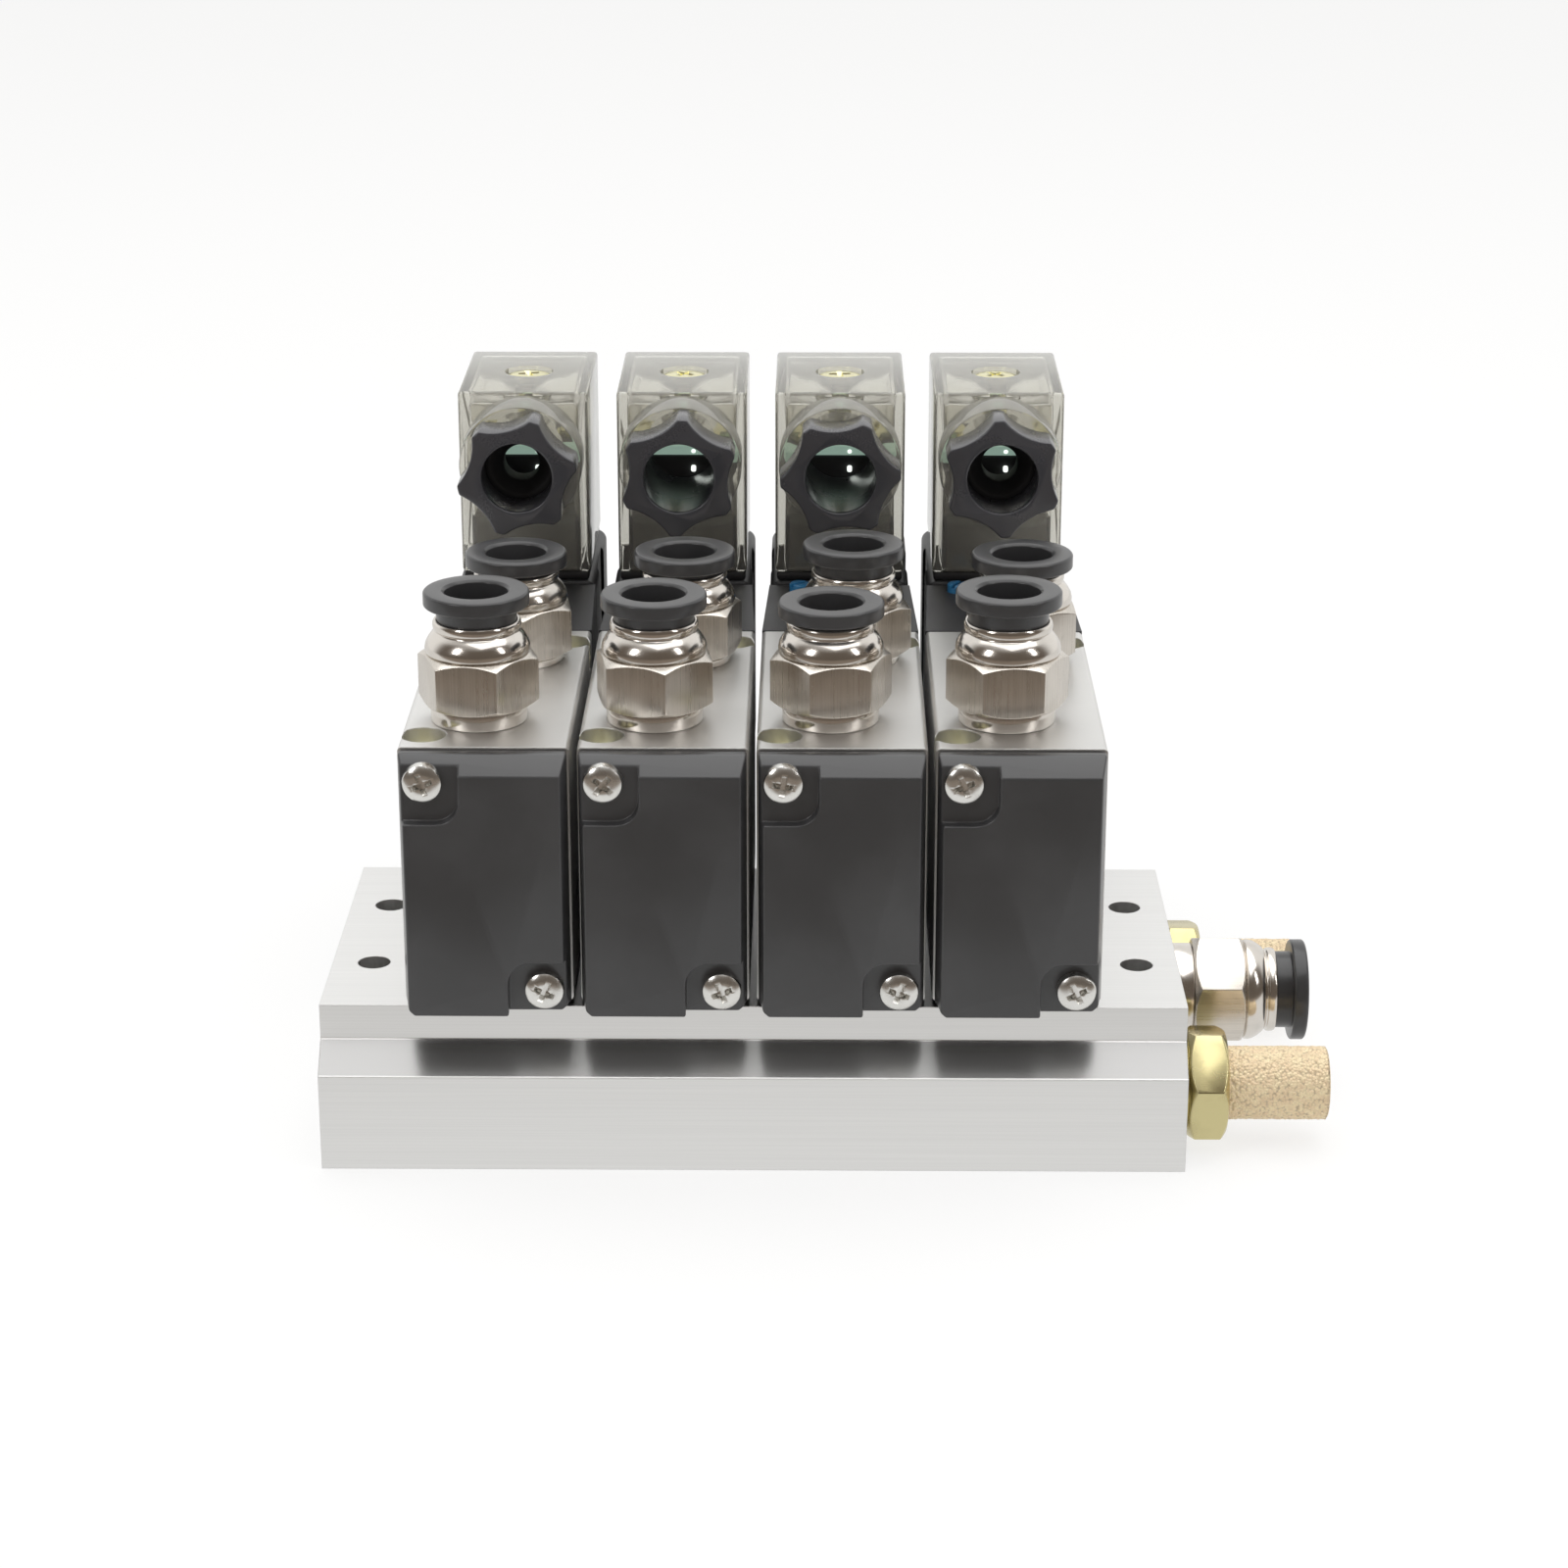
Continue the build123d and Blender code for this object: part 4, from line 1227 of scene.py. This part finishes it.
    def nut(self, turn: float) -> Shape:
        """Scoops the star-shaped gland nut and lines it with a black sleeve: at the front the gland's
        clamping insert, deeper in the passage a dark lining that paints its shade.

        Args:
            turn: where it stopped, in degrees.

        Returns:
            The nut, pointing up from z = 0 at its rear.
        """
        depth = self.boss_front - self.gland_gap - self.gland_front
        star = Shape.prism(144, self.gland_r, depth)
        for n in range(self.ridges):
            angle = math.tau * (n + 0.5) / self.ridges
            away = (self.scoop_at * math.cos(angle), self.scoop_at * math.sin(angle), 0)
            scoop = Shape.prism(96, self.scoop_r, depth + 2 * PAST, -PAST)
            bmesh.ops.translate(scoop.bm, vec=away, verts=scoop.bm.verts[:])
            star.cut(scoop)

        def upright(edge: bmesh.types.BMEdge) -> bool:
            """Whether an edge runs along the nut."""
            first, second = edge.verts
            return abs(first.co.z - second.co.z) > depth * 0.8

        star.soften(0.7, 3, where=upright)
        bore = Shape.prism(96, self.gland_bore_r, depth + 2 * PAST, -PAST)
        thread = Shape.prism(96, self.thread_r, depth - self.gland_lip + PAST, -PAST)
        star.cut(bore, thread).soften(0.3, 3)
        lip = depth - self.gland_lip - 0.1
        # Partly real, partly painted shade: the black sleeve is the gland's clamping insert at the front
        # and, further in, a dark lining standing for the shade inside the passage.
        insert_and_shade_lining = Shape.turned(
            [(self.gland_bore_r, -self.insert_and_shade_lining), (self.insert_and_shade_lining_r, -self.insert_and_shade_lining), (self.insert_and_shade_lining_r, lip),
             (self.gland_bore_r, lip)]
        )
        return star.add(insert_and_shade_lining).moved(turn=turn)

    def nut_at(self, x: float) -> Place:
        """Where a gland nut's rear stands on the valve at x."""
        return x, self.boss_front - self.gland_gap, self.axis_z

    def grommet(self, x: float) -> Shape:
        """Turns the rubber seal that a gland squeezes round a cable.

        Args:
            x: the valve's place.

        Returns:
            The seal in its gland.
        """
        ring = Shape.turned(
            [(2.6, 0.0), (5.12, 0.0), (5.12, 5.6), (4.3, 5.6), (3.0, 4.4), (2.6, 3.9)]
        ).soften(0.25, 3)
        return ring.moved((x, self.seal_y, self.axis_z), Axis.FRONT)


@dataclass(frozen=True)
class Override:
    """The slotted button of the manual override."""

    radius: float = 1.5
    rise: float = 1.2
    sunk: float = 5.0
    chamfer: float = 0.2
    slot: float = 0.5
    slot_depth: float = 0.5
    at: Place = (-5.8, 45.0, 57.5)

    def shape(self, x: float, turn: float) -> Shape:
        """Turns the button and cuts its slot.

        Args:
            x: the valve's place.
            turn: of the slot, in degrees.

        Returns:
            The button in its pilot block.
        """
        edge = self.rise - self.chamfer
        button = Shape.turned(
            [(AXIS_R, -self.sunk), (self.radius, -self.sunk), (self.radius, edge),
             (self.radius - self.chamfer, self.rise), (AXIS_R, self.rise)], 40
        )
        half, floor = self.slot / 2, self.rise - self.slot_depth
        button.cut(Shape.block((-2 * PAST, -half, floor), (2 * PAST, half, 2 * PAST)))
        across, along, height = self.at
        return button.soften(0.08, 2).moved((x + across, along, height), turn=turn)


@dataclass(frozen=True)
class CoilNut:
    """The flanged hexagon nut behind a coil."""

    flats: float = 13.0
    height: float = 3.6
    bore_r: float = 4.44
    chamfer: float = 0.6
    at: Point = (78.0, 39.5)

    def shape(self, x: float, turn: float) -> Shape:
        """Makes the hexagon and its domed end.

        Args:
            x: the valve's place.
            turn: where it stopped, in degrees.

        Returns:
            The nut on its coil.
        """
        nut = hexagon(self.flats, self.height, 0.0, self.bore_r, self.chamfer)
        dome = [(self.bore_r, 3.4), (6.1, 3.4), (6.0, 4.6), (5.5, 5.2), (self.bore_r, 5.2)]
        nut.add(Shape.turned(dome).soften(0.15, 2))
        return nut.moved((x, *self.at), Axis.BACK, turn)


@dataclass(frozen=True)
class Port:
    """A port on top of every valve, and how its fitting and ring stand on each."""

    key: str
    across: float
    along: float
    seat: float
    gaps: tuple[float, ...]
    turns: tuple[float, ...]


@dataclass(frozen=True)
class Stations:
    """The four valves."""

    xs: tuple[float, ...] = (-34.5, -11.5, 11.5, 34.5)
    top: float = 57.5
    ports: tuple[Port, ...] = (
        Port("a", -1.45, -13.0, 2.2, (1.9, 1.6, 0.53, 2.1), (22.0, 12.0, 40.0, 34.0)),
        Port("b", 1.65, 13.0, 1.2, (0.6, 0.8, 1.85, 0.54), (10.0, 47.0, 20.0, 5.0)),
    )
    nut_turns: tuple[float, ...] = (12.0, 26.0, 4.0, 34.0)
    grommets: tuple[int, ...] = (1, 4)
    override_step: float = 20.0
    coil_nut_step: float = 11.0
    plug: Plug = Plug()
    cap: EndCap = EndCap()
    override: Override = Override()
    coil_nut: CoilNut = CoilNut()

    def build(self) -> None:
        """Makes every piece of every valve."""
        cap, housing = self.cap.shape(), self.plug.housing()
        inside = (
            (self.plug.block(), "terminal_block", COIL, "black_moulding", "connector_insert"),
            (self.plug.clamp_screws(), "terminal_screws", YELLOW, "screw_yellow", None),
            # The board's finish glows as painted light.
            (self.plug.board.shape(), "plug_board", BOARD_PAINTED_GLOW, "black_moulding", None),
            (self.plug.lights(), "plug_lamp_and_highlight", LAMP_AND_HIGHLIGHT, "black_moulding", None),
        )
        gland_nuts = Shape()
        for n, x in enumerate(self.xs):
            k = n + 1
            cap.copy().moved((x, 0, 0)).piece(
                f"cap_moulding_{k}", CAP, slot="black_moulding", stands_for=[f"end_cap_{k}"]
            )
            housing.copy().moved((x, 0, 0)).piece(
                f"plug_shell_{k}", CLEAR, slot="clear_plastic", stands_for=[f"connector_housing_{k}"]
            )
            for shape, name, finish, slot, node in inside:
                nodes = [f"{node}_{k}"] if node else []
                shape.copy().moved((x, 0, 0)).piece(f"{name}_{k}", finish, slot=slot, stands_for=nodes)
            nut = self.plug.nut(self.nut_turns[n])
            gland_nuts.add(nut.moved(self.plug.nut_at(x), Axis.FRONT))
            if k in self.grommets:
                self.plug.grommet(x).piece(f"gland_grommet_{k}", RUBBER, slot="gasket_rubber")
            for port in self.ports:
                PushIn(
                    f"fitting_{port.key}_{k}", f"ring_{port.key}_{k}",
                    (x + port.across, port.along, self.top), port.seat, port.gaps[n],
                    turn=port.turns[n],
                ).build()
            button = f"override_button_{k}"
            self.override.shape(x, self.override_step * n).piece(
                f"override_cap_{k}", BLUE, body=button, slot="override_blue", stands_for=[button]
            )
        gland_nuts.piece("gland_nut_set", GLAND, slot="gland_plastic", stands_for=["gland_nuts"])
        coil_nuts = Shape()
        for n, x in enumerate(self.xs):
            coil_nuts.add(self.coil_nut.shape(x, self.coil_nut_step * n))
        coil_nuts.piece("coil_nut_set", COIL, slot="black_moulding", stands_for=["coil_nuts"])


# ---------------------------------------------------------------------------------------------
# Manifold
# ---------------------------------------------------------------------------------------------
@dataclass(frozen=True)
class Silencer:
    """A brass silencer with its sintered element, screwed into the bar's right end."""

    node: str
    place: Place
    turn: float = 106.5
    flats: float = 14.0
    height: float = 5.2
    washer: float = 0.7
    washer_r: float = 6.2
    chamfer: float = 0.9
    bore_r: float = 3.0
    thread_r: float = 4.8
    thread: float = 7.0
    element_r: float = 4.88
    element_from: float = 5.8
    element_to: float = 19.5
    rows: int = 70
    rings: int = 20
    around: int = 140
    lump: float = 0.05
    pit: float = 0.16
    highest: float = 0.11

    def build(self) -> None:
        """Makes the head and the granular element."""
        head = hexagon(self.flats, self.height, self.washer, self.bore_r, self.chamfer)
        thread = Shape.turned(
            [(self.bore_r, -self.thread), (self.thread_r, -self.thread), (self.thread_r, 0.0),
             (self.washer_r, 0.0), (self.washer_r, self.washer), (self.bore_r, self.washer)]
        ).soften(0.15, 2)
        head.add(thread).moved(self.place, Axis.RIGHT, self.turn)
        head.piece(self.node + "_head", BRASS, slot="silencer_brass", stands_for=[self.node])
        element = self._element()
        element.moved(self.place, Axis.RIGHT)
        element.piece(self.node + "_element", BRONZE, slot="silencer_brass", smooth=180.0)

    def _element(self) -> Shape:
        """Turns a finely divided cylinder and roughens it into grains.

        Returns:
            The element, upright.
        """
        start, end, r = self.element_from, self.element_to, self.element_r
        face = r - 0.3
        profile = [(AXIS_R, start), (r, start)]
        profile += [(r, start + (end - start) * n / self.rows) for n in range(1, self.rows)]
        profile += [(r, end - 0.25), (face, end - 0.02)]
        profile += [(face - 0.22 * n, end) for n in range(1, self.rings)]
        element = Shape.turned(profile + [(AXIS_R, end)], self.around)
        for vert in element.bm.verts:
            if vert.co.z > start + 0.2:
                lump = noise.noise(vert.co * 1.9 + Vector((self.place[1], 0, 0)))
                grain = noise.voronoi(vert.co * 1.5 + Vector((self.place[1], 3, 0)))[0][0]
                push = self.lump * lump + self.pit * (0.45 - min(grain, 0.8))
                if vert.co.z < end - 0.01:
                    out = Vector((vert.co.x, vert.co.y, 0)).normalized()
                    vert.co += out * min(push, self.highest)
                else:
                    vert.co.z += min(push, 0.0)
        return element


@dataclass(frozen=True)
class BarEnd:
    """What is screwed into the bar's right end."""

    x: float = 57.0
    inlet_z: float = 13.8
    inlet_seat: float = 3.0
    inlet_gap: float = 2.1
    inlet_turn: float = 98.0
    silencer_y: float = 19.0
    silencer_z: float = 8.3

    def build(self) -> None:
        """Makes the supply fitting and both silencers."""
        PushIn(
            "inlet_fitting", "inlet_ring", (self.x, 0.0, self.inlet_z), self.inlet_seat, self.inlet_gap,
            Axis.RIGHT, self.inlet_turn,
        ).build()
        for node, y in (("silencer_front", -self.silencer_y), ("silencer_rear", self.silencer_y)):
            Silencer(node, (self.x, y, self.silencer_z)).build()


@dataclass(frozen=True)
class CarriedNodes:
    """Nodes of the frame whose shape stands, each with its finish."""

    once: tuple[tuple[str, Finish], ...] = (
        ("manifold", BAR), ("station_gaskets", RUBBER), ("port_plugs", ZINC)
    )
    each: tuple[tuple[str, Finish], ...] = (
        ("valve_body", BODY), ("pilot_body", COIL), ("coil", COIL), ("spool", STEEL)
    )

    def dress(self, nodes: dict[str, bpy.types.Object], valves: int) -> None:
        """Gives every carried node its material.

        Args:
            nodes: the frame's objects by name.
            valves: how many valves there are.
        """
        numbers = range(1, valves + 1)
        named = list(self.once) + [(f"{name}_{n}", finish) for name, finish in self.each for n in numbers]
        for name, finish in named:
            item = nodes[name]
            item.data.materials.clear()
            item.data.materials.append(finish.make())
            for face in item.data.polygons:
                face.material_index = 0
            LOG.info("%s dressed in %s", name, finish.name)


# ---------------------------------------------------------------------------------------------
# Studio
# ---------------------------------------------------------------------------------------------
@dataclass(frozen=True)
class Lamp:
    """A soft rectangular lamp: metres, watts, and whether shiny surfaces show it."""

    name: str
    at: Place
    size: Point
    power: float
    mirrored: bool = True
    aim: Place = (0.0, 0.0, 0.03)

    def hang(self) -> None:
        """Adds the lamp, turned to what it lights."""
        data = bpy.data.lights.new(self.name, "AREA")
        data.shape = "RECTANGLE"
        data.size, data.size_y = self.size
        data.energy = self.power
        item = bpy.data.objects.new(self.name, data)
        item.visible_glossy = self.mirrored
        item.visible_transmission = False
        item.location = self.at
        toward = Vector(self.aim) - Vector(self.at)
        item.rotation_euler = toward.to_track_quat("-Z", "Y").to_euler()
        bpy.context.scene.collection.objects.link(item)


@dataclass(frozen=True)
class Studio:
    """Floor, lamps, world and camera."""

    eye: Place = (0.00814, -0.4674, 0.2115)
    pitch: float = 19.75
    yaw: float = 0.53
    lens: float = 84.12
    sensor: float = 36.0
    dusk: Colour = (0.235, 0.195, 0.16)
    day: Colour = (0.92, 0.92, 0.91)
    cloth: Colour = (0.86, 0.86, 0.85)
    floor_glint: Colour = (0.80, 0.80, 0.79)
    floor_glow: float = 1.06
    floor_share: float = 0.72
    floor_size: float = 3.0
    floor_dusk: Point = (-0.145, -0.09)
    lamps: tuple[Lamp, ...] = (
        Lamp("top", (0.05, 0.05, 0.75), (1.0, 0.8), 3.6),
        Lamp("left", (-0.5, -0.45, 0.5), (0.16, 0.3), 0.9),
        Lamp("right", (0.55, -0.3, 0.45), (0.1, 0.3), 0.5),
        Lamp("front", (0.2, -0.9, 0.3), (0.7, 0.25), 1.0, mirrored=False),
    )

    def build(self) -> None:
        """Sets the whole studio."""
        bpy.context.scene.view_settings.view_transform = "Standard"
        self.floor()
        self.world()
        for lamp in self.lamps:
            lamp.hang()
        self.camera()

    def floor(self) -> None:
        """A pale floor that keeps the shadow, shows white and mirrors dim in front."""
        grid = bmesh.new()
        bmesh.ops.create_grid(grid, x_segments=8, y_segments=8, size=self.floor_size)
        mesh = bpy.data.meshes.new("floor")
        grid.to_mesh(mesh)
        grid.free()
        material = bpy.data.materials.new("floor_white")
        tree = Tree(material)
        cloth = tree.node("ShaderNodeBsdfDiffuse", None, (*self.cloth, 1.0))
        white = tree.node("ShaderNodeEmission", None, (1.0, 1.0, 1.0, 1.0), self.floor_glow)
        glint = tree.blend(tree.axis("Y").step(*self.floor_dusk), self.dusk, self.floor_glint)
        mirrored = tree.node("ShaderNodeEmission", None, glint, 1.0)
        camera = tree.node("ShaderNodeLightPath", out="Is Camera Ray") * self.floor_share
        through = tree.node("ShaderNodeLightPath", out="Is Transmission Ray") * self.floor_share
        glossy = tree.node("ShaderNodeLightPath", out="Is Glossy Ray")
        seen = tree.node("ShaderNodeMixShader", None, camera + through, cloth, white)
        mixed = tree.node("ShaderNodeMixShader", None, glossy, seen, mirrored)
        tree.node("ShaderNodeOutputMaterial", None, mixed)
        mesh.materials.append(material)
        item = bpy.data.objects.new("floor", mesh)
        bpy.context.scene.collection.objects.link(item)

    def world(self) -> None:
        """White behind and above, dimmer and warmer on the viewer's side."""
        world = bpy.data.worlds.new("studio")
        bpy.context.scene.world = world
        tree = Tree(world)
        way = tree.node("ShaderNodeTexCoord", out="Generated")
        behind = tree.node("ShaderNodeSeparateXYZ", None, way, out="Y").step(-0.25, 0.5)
        above = tree.node("ShaderNodeSeparateXYZ", None, way, out="Z").step(0.55, 1.0) * 0.6
        room = tree.blend((behind + above).step(0.0, 1.0), shaded(self.dusk, 0.55), self.day)
        seen = tree.node("ShaderNodeLightPath", out="Is Camera Ray")
        colour = tree.blend(seen, room, (1.0, 1.0, 1.0))
        background = tree.node("ShaderNodeBackground", None, colour, 1.0)
        tree.node("ShaderNodeOutputWorld", None, background)

    def camera(self) -> None:
        """The view of the whole island from the front, a little above."""
        data = bpy.data.cameras.new("view")
        data.lens = self.lens
        data.sensor_width = self.sensor
        data.clip_start, data.clip_end = 0.01, 20.0
        item = bpy.data.objects.new("view", data)
        item.location = self.eye
        item.rotation_euler = (math.radians(90.0 - self.pitch), 0.0, math.radians(self.yaw))
        bpy.context.scene.collection.objects.link(item)
        bpy.context.scene.camera = item


def main() -> None:
    """Builds the studio and every piece in order."""
    logging.basicConfig(level=logging.INFO, format="%(name)s %(message)s")
    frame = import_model()
    Studio().build()
    stations = Stations()
    CarriedNodes().dress(frame["nodes"], len(stations.xs))
    stations.build()
    Screws().build(stations.xs)
    BarEnd().build()


if __name__ == "__main__":
    main()
